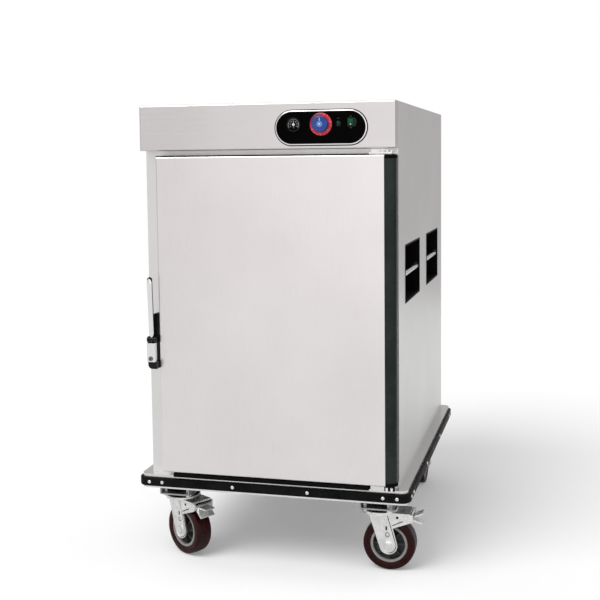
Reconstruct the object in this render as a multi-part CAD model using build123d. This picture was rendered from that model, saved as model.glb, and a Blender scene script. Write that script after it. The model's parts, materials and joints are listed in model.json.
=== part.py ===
from build123d import *
import math
import os

# An insulated, electrically heated food holding cart on four casters, in millimetres.
# X runs to the right, Y to the back and Z up. The origin is on the floor, under the
# middle of the cabinet.

# Cabinet
cabinet_width = 650.0
cabinet_depth = 845.0
cabinet_height = 947.0
wall = 55.0
skin = 2.0
liner_skin = 1.5
insulation_above_liner = 53.0
frame_bar_depth = 40.0
seat_gap = 0.2
fold_radius = 4.0

# Header that holds the controls, and the band under it
header_height = 113.0
head_band = 15.0

# Door
door_thickness = 38.0
door_face_gap = 2.0
door_foot_gap = 13.0
pillar_shown = 41.0
stile_tongue = 8.0
stile_shown = 28.0
gasket_width = 8.0
gasket_inset = 2.0
gasket_air = 0.3

# Pivot hinges
bracket_thickness = 4.0
bracket_air = 2.0
bracket_reach = 47.0
bracket_nose = 11.0
bracket_leg_height = 11.0
bracket_leg_thickness = 3.0
hinge_pin_radius = 4.0
hinge_pin_grip = 28.0
bush_wall = 2.0
bush_collar = 3.0
running_gap = 0.05

# Latch on the door's left edge
latch_middle = 580.0
latch_base_height = 140.0
latch_base_thickness = 16.0
latch_base_depth = 30.0
latch_body_width = 23.0
latch_body_depth = 22.0
latch_body_height = 48.0
latch_body_drop = 28.0
latch_body_rounding = 4.0
latch_ear = 5.0
latch_foot_inset = 3.0
lever_width = 12.4
lever_side_air = 0.3
lever_hub_radius = 7.5
lever_pin_radius = 2.5
lever_length = 161.0
lever_lean = 8.0
lever_root_thickness = 9.0
lever_tip_thickness = 13.0
lever_cover_thickness = 1.6
lock_radius = 6.0
lock_depth = 16.0
lock_drop = 15.5
lock_proud = 1.5
strike_width = 20.0
strike_height = 66.0
strike_thickness = 3.0
strike_block_depth = 11.0

# Grab pockets in the side panels
pocket_length = 250.0
pocket_height = 144.0
pocket_depth = 42.0
pocket_skin = 1.5
pocket_centre_y = 195.0
pocket_centre_z = 744.0
grab_bar_radius = 7.0
grab_bar_recess = 2.0
grab_bar_drop = 3.0

# Control panel
panel_centre_x = 144.0
panel_centre_up = 51.0
fascia_length = 216.0
fascia_height = 73.0
fascia_thickness = 2.5
bezel_rim = 5.5
bezel_proud = 4.0
bay_margin = 8.0
thermometer_offset = -67.0
knob_offset = 1.0
lamp_offset = 44.0
rocker_offset = 74.0
controls_up = 8.0
lamp_up = 1.0
rocker_up = 4.0
thermometer_radius = 17.0
thermometer_lip = 2.5
thermometer_body_length = 26.0
dial_radius = 14.5
dial_recess = 1.6
needle_length = 11.0
needle_thickness = 0.6
knob_ring_radius = 27.5
knob_ring_thickness = 3.0
knob_cap_radius = 20.0
knob_cap_length = 17.0
knob_shaft_radius = 3.0
knob_air = 0.6
thermostat_size = 44.0
thermostat_length = 40.0
lamp_radius = 5.0
lamp_length = 24.0
rocker_width = 12.0
rocker_radius = 8.6
rocker_air = 0.35
rocker_frame = 1.6
rocker_proud = 1.4
rocker_tilt = 9.0
rocker_housing_length = 24.0

# Inside
upright_thickness = 6.0
upright_width = 25.0
upright_count = 3
ledge_reach = 21.0
ledge_thickness = 3.0
ledge_front_air = 22.0
pan_ledge_up = 84.0
first_tray_up = 142.0
tray_head_air = 60.0
tray_levels = 11
pan_depth = 62.0
pan_flange = 18.0
pan_width_y = 325.0
pan_skin = 1.5
pan_back_air = 20.0
pan_side_air = 2.0
baffle_stand_off = 48.0
baffle_half_width = 225.0
baffle_foot_up = 152.0
baffle_head_air = 20.0
baffle_skin = 1.5
fan_inlet_radius = 55.0
fan_guard_bar = 5.0
vent_slot_width = 10.0
vent_slot_height = 60.0
vent_slot_count = 6
impeller_radius = 68.0
impeller_depth = 32.0
impeller_disc = 2.0
impeller_wall_air = 3.5
blade_count = 10
blade_thickness = 2.0
blade_lean = 35.0
impeller_hub_radius = 12.0
motor_radius = 38.0
motor_length = 48.0
motor_shaft_radius = 4.0
heater_ring_radius = 86.0
heater_tube_radius = 4.0
heater_opening_angle = 40.0
heater_flange_radius = 9.0
heater_flange_thickness = 3.0
inlet_x = 200.0
inlet_up = 97.0
inlet_flange = 50.0
inlet_flange_thickness = 3.0
inlet_body = 38.0
inlet_body_depth = 30.0
inlet_recess_width = 28.0
inlet_recess_height = 22.0
inlet_recess_depth = 18.0
inlet_pin_length = 12.0
inlet_pin_pitch = 8.0
rear_vent_width = 70.0
rear_vent_height = 4.0
rear_vent_pitch = 10.0
rear_vent_count = 6

# Deck, chassis and bumper
caster_height = 167.0
rail_height = 54.0
rail_width = 80.0
rail_wall = 3.0
rail_centre_x = 266.0
rail_end_air = 5.0
cross_rail_width = 40.0
cross_rail_span = 600.0
cross_rail_count = 3
deck_thickness = 5.0
bumper_outset = 31.0
bumper_corner = 25.0
channel_height = 31.0
channel_lip = 2.5
channel_foot = 5.5
channel_web = 2.5
strip_depth = 20.0
strip_proud = 7.0
strip_rounding = 3.0
screw_head_radius = 4.5
screw_head_height = 2.0
screw_shank_radius = 2.0
screw_corner_inset = 32.0
screw_pair_pitch = 35.0
screw_front_middle = 98.0
screw_side_middle = 140.0

# Casters
wheel_diameter = 134.0
wheel_width = 46.0
tyre_thickness = 19.5
tyre_rounding = 6.0
hub_boss_radius = 13.0
hub_web = 16.0
hub_rim = 7.0
hub_side_air = 0.5
axle_radius = 6.0
axle_head_radius = 10.0
axle_head_height = 6.0
fork_skin = 4.0
fork_leg_width = 46.0
fork_leg_air = 3.0
front_caster_y = -365.0
rear_caster_y = 332.0
caster_trail = 26.0
cup_radius = 46.0
cup_height = 8.0
race_height = 8.0
race_radius = 22.0
race_air = 0.15
kingpin_radius = 7.0
kingpin_nut_radius = 12.0
kingpin_nut_height = 5.0
plate_thickness = 4.0
plate_x = 85.0
plate_y = 105.0
bolt_spacing_x = 60.0
bolt_spacing_y = 80.0
bolt_radius = 4.0
bolt_head_radius = 7.0
bolt_head_height = 5.0
bolt_nut_height = 6.5
left_heading = -32.0
right_heading = 0.0
pedal_pivot_out = 80.0
pedal_pivot_height = 136.0
pedal_pin_radius = 3.0
pedal_barrel_radius = 6.0
pedal_boss_radius = 8.0
pedal_bracket_foot = 36.0
pedal_reach = 32.0
pedal_lobe_drop = 10.0
pedal_lobe_rise = 13.0
pedal_plate_thickness = 4.0
pedal_arm_width = 30.0
pedal_pad_width = 44.0
pedal_press = 24.0

# Planes and heights worked out from the sizes above
deck_top = caster_height + rail_height + deck_thickness
top = deck_top + cabinet_height
half_width = cabinet_width / 2
front = -cabinet_depth / 2
back = cabinet_depth / 2
header_bottom = top - header_height
door_top = header_bottom - head_band
door_bottom = deck_top + door_foot_gap
door_back = front - door_face_gap
door_front = door_back - door_thickness
door_left = -half_width + pillar_shown
pivot_x = half_width - door_thickness / 2
pivot_y = door_back - door_thickness / 2
stile_face_x = half_width - stile_shown
cavity_half = half_width - wall
liner_half = cavity_half + liner_skin
cavity_floor = deck_top + wall
liner_floor = cavity_floor - liner_skin
cavity_top = door_top - head_band
liner_top = cavity_top + liner_skin
cavity_back = back - wall
liner_back = cavity_back + liner_skin
insulation_top = liner_top + insulation_above_liner
panel_z = header_bottom + panel_centre_up
controls_z = panel_z + controls_up
fascia_front = door_front - fascia_thickness
tray_pitch = (cavity_top - tray_head_air - cavity_floor - first_tray_up) / (tray_levels - 1)
baffle_low = cavity_floor + baffle_foot_up
baffle_high = cavity_top - baffle_head_air
fan_z = (baffle_low + baffle_high) / 2
vent_slot_pitch = (baffle_high - baffle_low) / (vent_slot_count + 0.5)
bumper_x = half_width + bumper_outset
bumper_y = back + bumper_outset
channel_top = deck_top - deck_thickness
channel_bottom = channel_top - channel_height
strip_top = channel_top - channel_lip
strip_bottom = channel_bottom + channel_foot
strip_middle = (strip_bottom + strip_top) / 2
wheel_radius = wheel_diameter / 2
rim_radius = wheel_radius - tyre_thickness
leg_inside = wheel_width / 2 + fork_leg_air
leg_outside = leg_inside + fork_skin
plate_bottom = caster_height - plate_thickness
cup_top = plate_bottom - race_height - race_air
cup_bottom = cup_top - cup_height
bush_radius = hinge_pin_radius + running_gap + bush_wall
bush_collar_thickness = bracket_air - running_gap
inlet_z = deck_top + inlet_up
upright_face = cavity_half - upright_thickness
ledge_tip = upright_face - ledge_reach
ledge_front = front + ledge_front_air
baffle_face = cavity_back - baffle_stand_off
ledge_back = baffle_face - ledge_front_air / 2
latch_body_front = door_front - latch_body_depth
lever_pivot_y = door_front - latch_body_depth / 2
latch_outer_x = door_left - latch_base_thickness
latch_body_right = door_left - latch_foot_inset
latch_body_left = latch_body_right - latch_body_width
lever_left = latch_body_left + latch_ear + lever_side_air
latch_body_middle = latch_middle - latch_body_drop
latch_body_top = latch_body_middle + latch_body_height / 2
lever_pivot_z = latch_body_top + lever_side_air + lever_hub_radius


def block(x, y, z):
    """A box between two limits on each axis."""
    size = [high - low for low, high in (x, y, z)]
    middle = [(low + high) / 2 for low, high in (x, y, z)]
    return Pos(*middle) * Box(*size)


def rod(radius, axis, limits, at):
    """A round bar along one axis, between two limits, at a place on the other two."""
    low, high = limits
    bar = Cylinder(radius, high - low)
    middle = (low + high) / 2
    if axis == "x":
        return Pos(middle, at[0], at[1]) * Rot(0, 90, 0) * bar
    if axis == "y":
        return Pos(at[0], middle, at[1]) * Rot(90, 0, 0) * bar
    return Pos(at[0], at[1], middle) * bar


def stadium(length, height, y_limits, x, z):
    """A plate with half-round ends, facing the front."""
    low, high = y_limits
    outline = SlotOverall(length, height)
    plate = extrude(Plane.XZ * outline, amount=high - low)
    return Pos(x, high, z) * plate


def mirrored(shape):
    """The same piece on the other side of the cabinet."""
    return mirror(shape, about=Plane.YZ)


def as_group(pieces):
    """Separate solids that share one node."""
    return Compound(children=[solid for piece in pieces for solid in piece.solids()])


# Outer shell

def pocket_places():
    return [(y, pocket_centre_z) for y in (-pocket_centre_y, pocket_centre_y)]


def side_panel():
    """The right-hand skin: a sheet with a return at the front that faces the pillar."""
    inside = half_width - skin
    sheet = block((inside, half_width), (front, back), (deck_top, top - skin))
    lip = block((liner_half + seat_gap, inside), (front, front + skin), (deck_top, header_bottom))
    panel = sheet + lip
    for y, z in pocket_places():
        reach_y = pocket_length / 2
        reach_z = pocket_height / 2
        panel -= block((inside - skin, half_width + skin),
                       (y - reach_y, y + reach_y), (z - reach_z, z + reach_z))
    return panel


def grab_pockets():
    """Four black trays let into the side panels, open to the outside."""
    pockets = []
    for y, z in pocket_places():
        reach_y = pocket_length / 2 - seat_gap
        reach_z = pocket_height / 2 - seat_gap
        outer = block((half_width - pocket_depth, half_width),
                      (y - reach_y, y + reach_y), (z - reach_z, z + reach_z))
        inner = block((half_width - pocket_depth + pocket_skin, half_width + skin),
                      (y - reach_y + pocket_skin, y + reach_y - pocket_skin),
                      (z - reach_z + pocket_skin, z + reach_z - pocket_skin))
        pocket = outer - inner
        pockets += [pocket, mirrored(pocket)]
    return as_group(pockets)


def grab_bars():
    bars = []
    for y, z in pocket_places():
        reach = pocket_length / 2 - seat_gap - pocket_skin
        bar = rod(grab_bar_radius, "y", (y - reach, y + reach),
                  (half_width - grab_bar_recess - grab_bar_radius, z - grab_bar_drop))
        bars += [bar, mirrored(bar)]
    return as_group(bars)


def top_panel():
    return block((-half_width, half_width), (front, back), (top - skin, top))


def rear_panel():
    """The back skin, with vents for the fan motor and a hole for the power inlet."""
    inside = half_width - skin
    panel = block((-inside, inside), (back - skin, back), (deck_top, top - skin))
    for i in range(rear_vent_count):
        z = fan_z + (i - (rear_vent_count - 1) / 2) * rear_vent_pitch
        panel -= block((-rear_vent_width / 2, rear_vent_width / 2), (back - 2 * skin, back + skin),
                       (z - rear_vent_height / 2, z + rear_vent_height / 2))
    reach = inlet_body / 2 + seat_gap
    panel -= block((inlet_x - reach, inlet_x + reach), (back - 2 * skin, back + skin),
                   (inlet_z - reach, inlet_z + reach))
    return panel


def front_frame():
    """Two pillars, a head rail and a sill: the heat-break bars that the door closes on."""
    inside = half_width - skin
    opening = liner_half + seat_gap
    rear = front + frame_bar_depth
    pillar = block((opening, inside), (front + skin, rear), (deck_top, header_bottom))
    head = block((-opening, opening), (front, rear), (liner_top + seat_gap, header_bottom))
    sill = block((-opening, opening), (front, rear), (deck_top, liner_floor - seat_gap))
    return as_group([pillar, mirrored(pillar), head, sill])


def liner():
    """The inner box, open at the front, with a hole for the fan shaft."""
    outer = block((-liner_half, liner_half), (front, liner_back), (liner_floor, liner_top))
    inner = block((-cavity_half, cavity_half), (front - liner_skin, cavity_back),
                  (cavity_floor, cavity_top))
    hole = rod(2 * motor_shaft_radius, "y", (cavity_back - liner_skin, liner_back + liner_skin),
               (0, fan_z))
    return outer - inner - hole


def insulation():
    """Five slabs between the skins and the liner, cut round what is let into the walls."""
    inside = half_width - skin
    opening = liner_half + seat_gap
    rear = back - skin
    bar_rear = front + frame_bar_depth
    side = block((opening, inside), (bar_rear, rear), (deck_top, insulation_top))
    for y, z in pocket_places():
        reach_y = pocket_length / 2 + seat_gap
        reach_z = pocket_height / 2 + seat_gap
        side -= block((half_width - pocket_depth - seat_gap, half_width),
                      (y - reach_y, y + reach_y), (z - reach_z, z + reach_z))
    rear_slab = block((-opening, opening), (liner_back, rear), (deck_top, insulation_top))
    rear_slab -= rod(motor_radius + seat_gap, "y", (liner_back - skin, rear + skin), (0, fan_z))
    reach = inlet_body / 2 + seat_gap
    rear_slab -= block((inlet_x - reach, inlet_x + reach),
                       (back - inlet_body_depth - seat_gap, back),
                       (inlet_z - reach, inlet_z + reach))
    floor_slab = block((-opening, opening), (bar_rear, liner_back), (deck_top, liner_floor))
    roof_slab = block((-opening, opening), (bar_rear, liner_back), (liner_top, insulation_top))
    return as_group([side, mirrored(side), rear_slab, floor_slab, roof_slab])


def header_cover():
    """A box of sheet in front of the cabinet's top, open at the back, with the control hole."""
    cover = block((-half_width, half_width), (door_front, front), (header_bottom, top))
    cover = fillet(cover.faces().sort_by(Axis.Y)[0].edges(), fold_radius)
    cover -= block((-half_width + skin, half_width - skin), (door_front + skin, front + skin),
                   (header_bottom + skin, top - skin))
    cover -= stadium(fascia_length - bay_margin, fascia_height - bay_margin,
                     (door_front - skin, door_front + 2 * skin), panel_centre_x, panel_z)
    return cover


# Controls

def control_x(offset):
    return panel_centre_x + offset


def control_bezel():
    outer = stadium(fascia_length + 2 * bezel_rim, fascia_height + 2 * bezel_rim,
                    (door_front - bezel_proud, door_front), panel_centre_x, panel_z)
    inner = stadium(fascia_length + 2 * seat_gap, fascia_height + 2 * seat_gap,
                    (door_front - bezel_proud - skin, door_front + skin), panel_centre_x, panel_z)
    bezel = outer - inner
    rim = bezel.faces().sort_by(Axis.Y)[0].edges()
    return fillet(rim, bezel_rim / 4)


def control_fascia():
    plate = stadium(fascia_length, fascia_height, (fascia_front, door_front),
                    panel_centre_x, panel_z)
    through = (fascia_front - skin, door_front + skin)
    gauge = rod(thermometer_radius - thermometer_lip, "y", through,
                (control_x(thermometer_offset), controls_z))
    shaft = rod(2 * knob_shaft_radius, "y", through, (control_x(knob_offset), controls_z))
    lamp = rod(lamp_radius - lamp_up, "y", through,
               (control_x(lamp_offset), controls_z + lamp_up))
    reach_x = rocker_width / 2 + rocker_air + seat_gap
    reach_z = rocker_radius + rocker_air + seat_gap
    x = control_x(rocker_offset)
    z = controls_z + rocker_up
    switch = block((x - reach_x, x + reach_x), through, (z - reach_z, z + reach_z))
    return plate - gauge - shaft - lamp - switch


def thermometer_case():
    """A dial gauge: a lipped cup on the fascia with its body behind and a hub pin in front."""
    place = (control_x(thermometer_offset), controls_z)
    front_y = fascia_front - thermometer_lip
    lip = rod(thermometer_radius, "y", (front_y, fascia_front), place)
    lip = fillet(lip.faces().sort_by(Axis.Y)[0].edges(), thermometer_lip / 4)
    body = rod(thermometer_radius - thermometer_lip - seat_gap, "y",
               (fascia_front, fascia_front + thermometer_body_length), place)
    dial = rod(dial_radius, "y", (front_y - skin, front_y + dial_recess), place)
    pin = rod(needle_thickness, "y",
              (front_y + dial_recess / 4, front_y + dial_recess), place)
    return lip + body - dial + pin


def thermometer_needle():
    """A pointer on the gauge's hub pin, clear of the dial."""
    x = control_x(thermometer_offset)
    floor_y = fascia_front - thermometer_lip + dial_recess
    limits = (floor_y - dial_recess / 4 - needle_thickness, floor_y - dial_recess / 4)
    boss = rod(3 * needle_thickness, "y", limits, (x, controls_z))
    arm = block((x - needle_thickness, x + needle_thickness), limits,
                (controls_z - needle_length / 3, controls_z + needle_length))
    bore = rod(needle_thickness + running_gap, "y",
               (limits[0] - needle_thickness, limits[1] + needle_thickness), (x, controls_z))
    return boss + arm - bore


def thermostat_body():
    """The control's case behind the header, with its shaft through the fascia."""
    x = control_x(knob_offset)
    reach = thermostat_size / 2
    case_front = door_front
    case = block((x - reach, x + reach), (case_front, case_front + thermostat_length),
                 (controls_z - reach, controls_z + reach))
    shaft = rod(knob_shaft_radius, "y",
                (fascia_front - knob_air - knob_cap_length * 0.7, case_front), (x, controls_z))
    return case + shaft


def thermostat_knob():
    """A round knob in two pieces: a broad coloured ring and a cap, on one shaft."""
    x = control_x(knob_offset)
    rear = fascia_front - knob_air
    ring_front = rear - knob_ring_thickness
    bore = rod(knob_shaft_radius + running_gap, "y", (rear - knob_cap_length * 0.75, rear + skin),
               (x, controls_z))
    ring = rod(knob_ring_radius, "y", (ring_front, rear), (x, controls_z))
    ring = chamfer(ring.faces().sort_by(Axis.Y)[0].edges(), knob_ring_thickness / 3)
    cap = rod(knob_cap_radius, "y", (rear - knob_cap_length, ring_front), (x, controls_z))
    cap = fillet(cap.faces().sort_by(Axis.Y)[0].edges(), knob_ring_thickness / 2)
    return as_group([ring - bore, cap - bore])


def pilot_lamp():
    x = control_x(lamp_offset)
    z = controls_z + lamp_up
    lens = rod(lamp_radius, "y", (fascia_front - lamp_radius / 2, fascia_front), (x, z))
    lens = fillet(lens.faces().sort_by(Axis.Y)[0].edges(), lamp_radius / 3)
    body = rod(lamp_radius - lamp_up - seat_gap, "y",
               (fascia_front, fascia_front + lamp_length), (x, z))
    return lens + body


def rocker_place():
    return control_x(rocker_offset), fascia_front, controls_z + rocker_up


def rocker_housing():
    """The switch's case, open at the front round the rocker."""
    x, face, z = rocker_place()
    window_x = rocker_width / 2 + rocker_air
    window_z = rocker_radius + rocker_air
    rim_x = window_x + seat_gap + rocker_frame
    rim_z = window_z + seat_gap + rocker_frame
    rear = face + rocker_housing_length
    rim = block((x - rim_x, x + rim_x), (face - rocker_proud, face), (z - rim_z, z + rim_z))
    case_x = window_x + seat_gap / 2
    case_z = window_z + seat_gap / 2
    case = block((x - case_x, x + case_x), (face, rear), (z - case_z, z + case_z))
    well = block((x - window_x, x + window_x), (face - 2 * rocker_proud, rear - rocker_frame),
                 (z - window_z, z + window_z))
    neck = block((x - case_x, x + case_x),
                 (face + rocker_radius + rocker_air, rear), (z - case_z, z + case_z))
    return rim + case - well + neck


def rocker():
    """A rocker cut from a round bar, so that it turns in its window with even clearance."""
    x, face, z = rocker_place()
    bar = rod(rocker_radius, "x", (x - rocker_width / 2, x + rocker_width / 2), (face, z))
    reach = 2 * rocker_radius
    for tilt in (rocker_tilt, -rocker_tilt):
        cut = Pos(0, -reach / 2 - 2 * rocker_proud, 0) * Box(2 * rocker_width, reach, 2 * reach)
        bar -= Pos(x, face, z) * Rot(tilt, 0, 0) * cut
    return Pos(x, face, z) * Rot(rocker_tilt, 0, 0) * (Pos(-x, -face, -z) * bar)


# Inside the cavity

def tray_uprights():
    """Flat bars on each side wall of the liner."""
    first = ledge_front + upright_width
    last = ledge_back - upright_width
    bars = []
    for i in range(upright_count):
        y = first + (last - first) * i / (upright_count - 1)
        bar = block((upright_face, cavity_half), (y - upright_width / 2, y + upright_width / 2),
                    (cavity_floor, cavity_top - upright_thickness))
        bars += [bar, mirrored(bar)]
    return bars


def ledge_tops():
    trays = [cavity_floor + first_tray_up + i * tray_pitch for i in range(tray_levels)]
    return [cavity_floor + pan_ledge_up] + trays


def tray_ledges():
    """A flat ledge on each side for the water pan and for every tray."""
    ledges = []
    for z in ledge_tops():
        ledge = block((ledge_tip, upright_face), (ledge_front, ledge_back),
                      (z - ledge_thickness, z))
        ledges += [ledge, mirrored(ledge)]
    return ledges


def tray_racks():
    """A ladder of uprights and ledges on each side wall."""
    return as_group(tray_uprights() + tray_ledges())


def water_pan():
    """A flanged pan that hangs on the lowest pair of ledges."""
    rest = ledge_tops()[0]
    rear = ledge_back - pan_back_air
    near = rear - pan_width_y
    flange_x = upright_face - pan_side_air
    body_x = ledge_tip - pan_side_air
    flange = block((-flange_x, flange_x), (near, rear), (rest, rest + pan_skin))
    bowl = block((-body_x, body_x), (near + pan_flange, rear - pan_flange),
                 (rest - pan_depth, rest))
    hollow = block((-body_x + pan_skin, body_x - pan_skin),
                   (near + pan_flange + pan_skin, rear - pan_flange - pan_skin),
                   (rest - pan_depth + pan_skin, rest + 2 * pan_skin))
    return flange + bowl - hollow


def air_baffle():
    """A folded sheet in front of the fan, with a guarded inlet and columns of vent slots."""
    limits_x = (-baffle_half_width, baffle_half_width)
    box = block(limits_x, (baffle_face, cavity_back), (baffle_low, baffle_high))
    box -= block((-baffle_half_width + baffle_skin, baffle_half_width - baffle_skin),
                 (baffle_face + baffle_skin, cavity_back + skin),
                 (baffle_low + baffle_skin, baffle_high - baffle_skin))
    through = (baffle_face - skin, baffle_face + 2 * skin)
    box -= rod(fan_inlet_radius, "y", through, (0, fan_z))
    for x in (-baffle_half_width + 2 * vent_slot_width, baffle_half_width - 2 * vent_slot_width):
        for i in range(vent_slot_count):
            z = fan_z + (i - (vent_slot_count - 1) / 2) * vent_slot_pitch
            box -= block((x - vent_slot_width / 2, x + vent_slot_width / 2), through,
                         (z - vent_slot_height / 2, z + vent_slot_height / 2))
    sheet = (baffle_face, baffle_face + baffle_skin)
    reach = fan_inlet_radius + baffle_skin
    half_bar = fan_guard_bar / 2
    box += block((-reach, reach), sheet, (fan_z - half_bar, fan_z + half_bar))
    box += block((-half_bar, half_bar), sheet, (fan_z - reach, fan_z + reach))
    return box


def fan_motor():
    """A round motor in the back wall, with its shaft through the liner."""
    case = rod(motor_radius, "y", (liner_back, liner_back + motor_length), (0, fan_z))
    shaft = rod(motor_shaft_radius, "y",
                (cavity_back - impeller_wall_air - impeller_depth * 0.8, liner_back), (0, fan_z))
    return case + shaft


def fan_impeller():
    """A disc with leaning blades on a hub."""
    rear = cavity_back - impeller_wall_air
    near = rear - impeller_depth
    wheel = rod(impeller_radius, "y", (rear - impeller_disc, rear), (0, fan_z))
    wheel += rod(impeller_hub_radius, "y", (rear - impeller_depth * 0.7, rear), (0, fan_z))
    inner = 2.2 * impeller_hub_radius
    length = 0.9 * (impeller_radius - inner)
    for i in range(blade_count):
        blade = Box(length, rear - near, blade_thickness)
        blade = Pos((inner + impeller_radius) / 2, 0, 0) * Rot(0, blade_lean, 0) * blade
        blade = Rot(0, 360 * i / blade_count, 0) * blade
        wheel += Pos(0, (near + rear) / 2, fan_z) * blade
    return wheel - rod(motor_shaft_radius + running_gap, "y", (near - skin, rear + skin), (0, fan_z))


def heater_element():
    """An open ring of heater tube round the impeller, on two legs with flanges."""
    y = cavity_back - impeller_wall_air - impeller_depth / 2
    turn = 360 - heater_opening_angle
    start = heater_opening_angle / 2 - 90
    section = Pos(heater_ring_radius, 0, 0) * Circle(heater_tube_radius)
    ring = revolve(Plane.XZ * section, axis=Axis.Z, revolution_arc=turn)
    ring = Pos(0, y, fan_z) * Rot(90, 0, 0) * Rot(0, 0, start) * ring
    tube = ring
    for angle in (start, start + turn):
        x = heater_ring_radius * math.cos(math.radians(angle))
        z = fan_z + heater_ring_radius * math.sin(math.radians(angle))
        tube += Pos(x, y, z) * Sphere(heater_tube_radius)
        tube += rod(heater_tube_radius, "y", (y, cavity_back), (x, z))
        tube += rod(heater_flange_radius, "y",
                    (cavity_back - heater_flange_thickness, cavity_back), (x, z))
    return tube


def power_inlet():
    """A recessed inlet in the back wall, with a flange outside and three pins in its recess."""
    reach = inlet_flange / 2
    body = inlet_body / 2
    mouth = back + inlet_flange_thickness
    floor_y = mouth - inlet_recess_depth
    part = block((inlet_x - reach, inlet_x + reach), (back, mouth),
                 (inlet_z - reach, inlet_z + reach))
    part += block((inlet_x - body, inlet_x + body), (back - inlet_body_depth, back),
                  (inlet_z - body, inlet_z + body))
    part -= block((inlet_x - inlet_recess_width / 2, inlet_x + inlet_recess_width / 2),
                  (floor_y, mouth + skin),
                  (inlet_z - inlet_recess_height / 2, inlet_z + inlet_recess_height / 2))
    for i in (-1, 0, 1):
        x = inlet_x + i * inlet_pin_pitch
        z = inlet_z + (inlet_pin_pitch / 2 if i == 0 else -inlet_pin_pitch / 2)
        part += block((x - 1, x + 1), (floor_y, floor_y + inlet_pin_length), (z - 2.5, z + 2.5))
    return part


# Door

def door_skin():
    """The outer pan of the door: a front sheet with edges folded back on three sides."""
    rear = door_back - skin
    inner_x = (door_left + skin, stile_face_x + skin)
    pan = block((door_left, stile_face_x), (door_front, rear), (door_bottom, door_top))
    rim = pan.faces().sort_by(Axis.Y)[0].edges()
    pan = fillet(rim.filter_by(Axis.X) + rim.sort_by(Axis.X)[0:1], fold_radius)
    hollow = block(inner_x, (door_front + skin, rear + skin),
                   (door_bottom + skin, door_top - skin))
    hinge_notch = rod(bush_radius + bush_collar, "z", (door_bottom - skin, door_top + skin),
                      (pivot_x, pivot_y))
    return pan - hollow - hinge_notch


def door_liner():
    """The door's inner sheet."""
    return block((door_left, stile_face_x), (door_back - skin, door_back), (door_bottom, door_top))


def door_insulation():
    return block((door_left + skin, stile_face_x - stile_tongue), (door_front + skin, door_back - skin),
                 (door_bottom + skin, door_top - skin))


def door_gasket():
    """A flat seal round the cavity's mouth, a little short of the frame."""
    limits = (door_back, front - gasket_air)
    inner = liner_half + gasket_inset
    outer = inner + gasket_width
    low = liner_floor - gasket_inset
    high = liner_top + gasket_inset
    ring = block((-outer, outer), limits, (low - gasket_width, high + gasket_width))
    return ring - block((-inner, inner), (limits[0] - skin, limits[1] + skin), (low, high))


def hinge_stile():
    """A dark, round-nosed bar along the hinge side, turning about its own nose."""
    radius = door_thickness / 2
    nose = rod(radius, "z", (door_bottom, door_top), (pivot_x, pivot_y))
    nose &= block((stile_face_x, half_width + radius), (door_front - radius, door_back + radius),
                  (door_bottom, door_top))
    bar = nose + block((stile_face_x, pivot_x), (door_front, door_back), (door_bottom, door_top))
    bar += block((stile_face_x - stile_tongue, stile_face_x), (door_front + skin, door_back - skin),
                 (door_bottom + skin, door_top - skin))
    for low, high in bush_spans():
        bar -= rod(bush_radius, "z", (low, high), (pivot_x, pivot_y))
    return bar


def bush_spans():
    """Height limits of the two bushes in the stile's ends."""
    return [(door_bottom, door_bottom + hinge_pin_grip), (door_top - hinge_pin_grip, door_top)]


def hinge_bushes():
    bushes = []
    bore = hinge_pin_radius + running_gap
    place = (pivot_x, pivot_y)
    lower, upper = bush_spans()
    collars = [(door_bottom - bush_collar_thickness, door_bottom),
               (door_top, door_top + bush_collar_thickness)]
    for span, collar in zip((lower, upper), collars):
        bush = rod(bush_radius, "z", span, place)
        bush += rod(bush_radius + bush_collar, "z", collar, place)
        through = (min(span[0], collar[0]) - skin, max(span[1], collar[1]) + skin)
        bushes.append(bush - rod(bore, "z", through, place))
    return as_group(bushes)


def hinge_brackets():
    """A bracket above the door and one below it, each with its pivot pin."""
    place = (pivot_x, pivot_y)
    left = pivot_x - bracket_reach
    grip = hinge_pin_grip - bracket_air
    lower = (deck_top, door_bottom - bracket_air)
    upper_bottom = door_top + bracket_air
    upper = (upper_bottom, upper_bottom + bracket_thickness)
    parts = []
    for span in (lower, upper):
        plate = block((left, pivot_x), (pivot_y - bracket_nose, front), span)
        plate += rod(bracket_nose, "z", span, place)
        plate += block((pivot_x, pivot_x + bracket_nose), (pivot_y, front), span)
        parts.append(plate)
    leg = block((left, pivot_x - bracket_nose / 2), (front - bracket_leg_thickness, front),
                (upper_bottom, upper_bottom + bracket_leg_height))
    parts[0] += rod(hinge_pin_radius, "z", (lower[0], door_bottom + grip), place)
    parts[1] += leg + rod(hinge_pin_radius, "z", (door_top - grip, upper[1]), place)
    return as_group(parts)


# Latch

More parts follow.
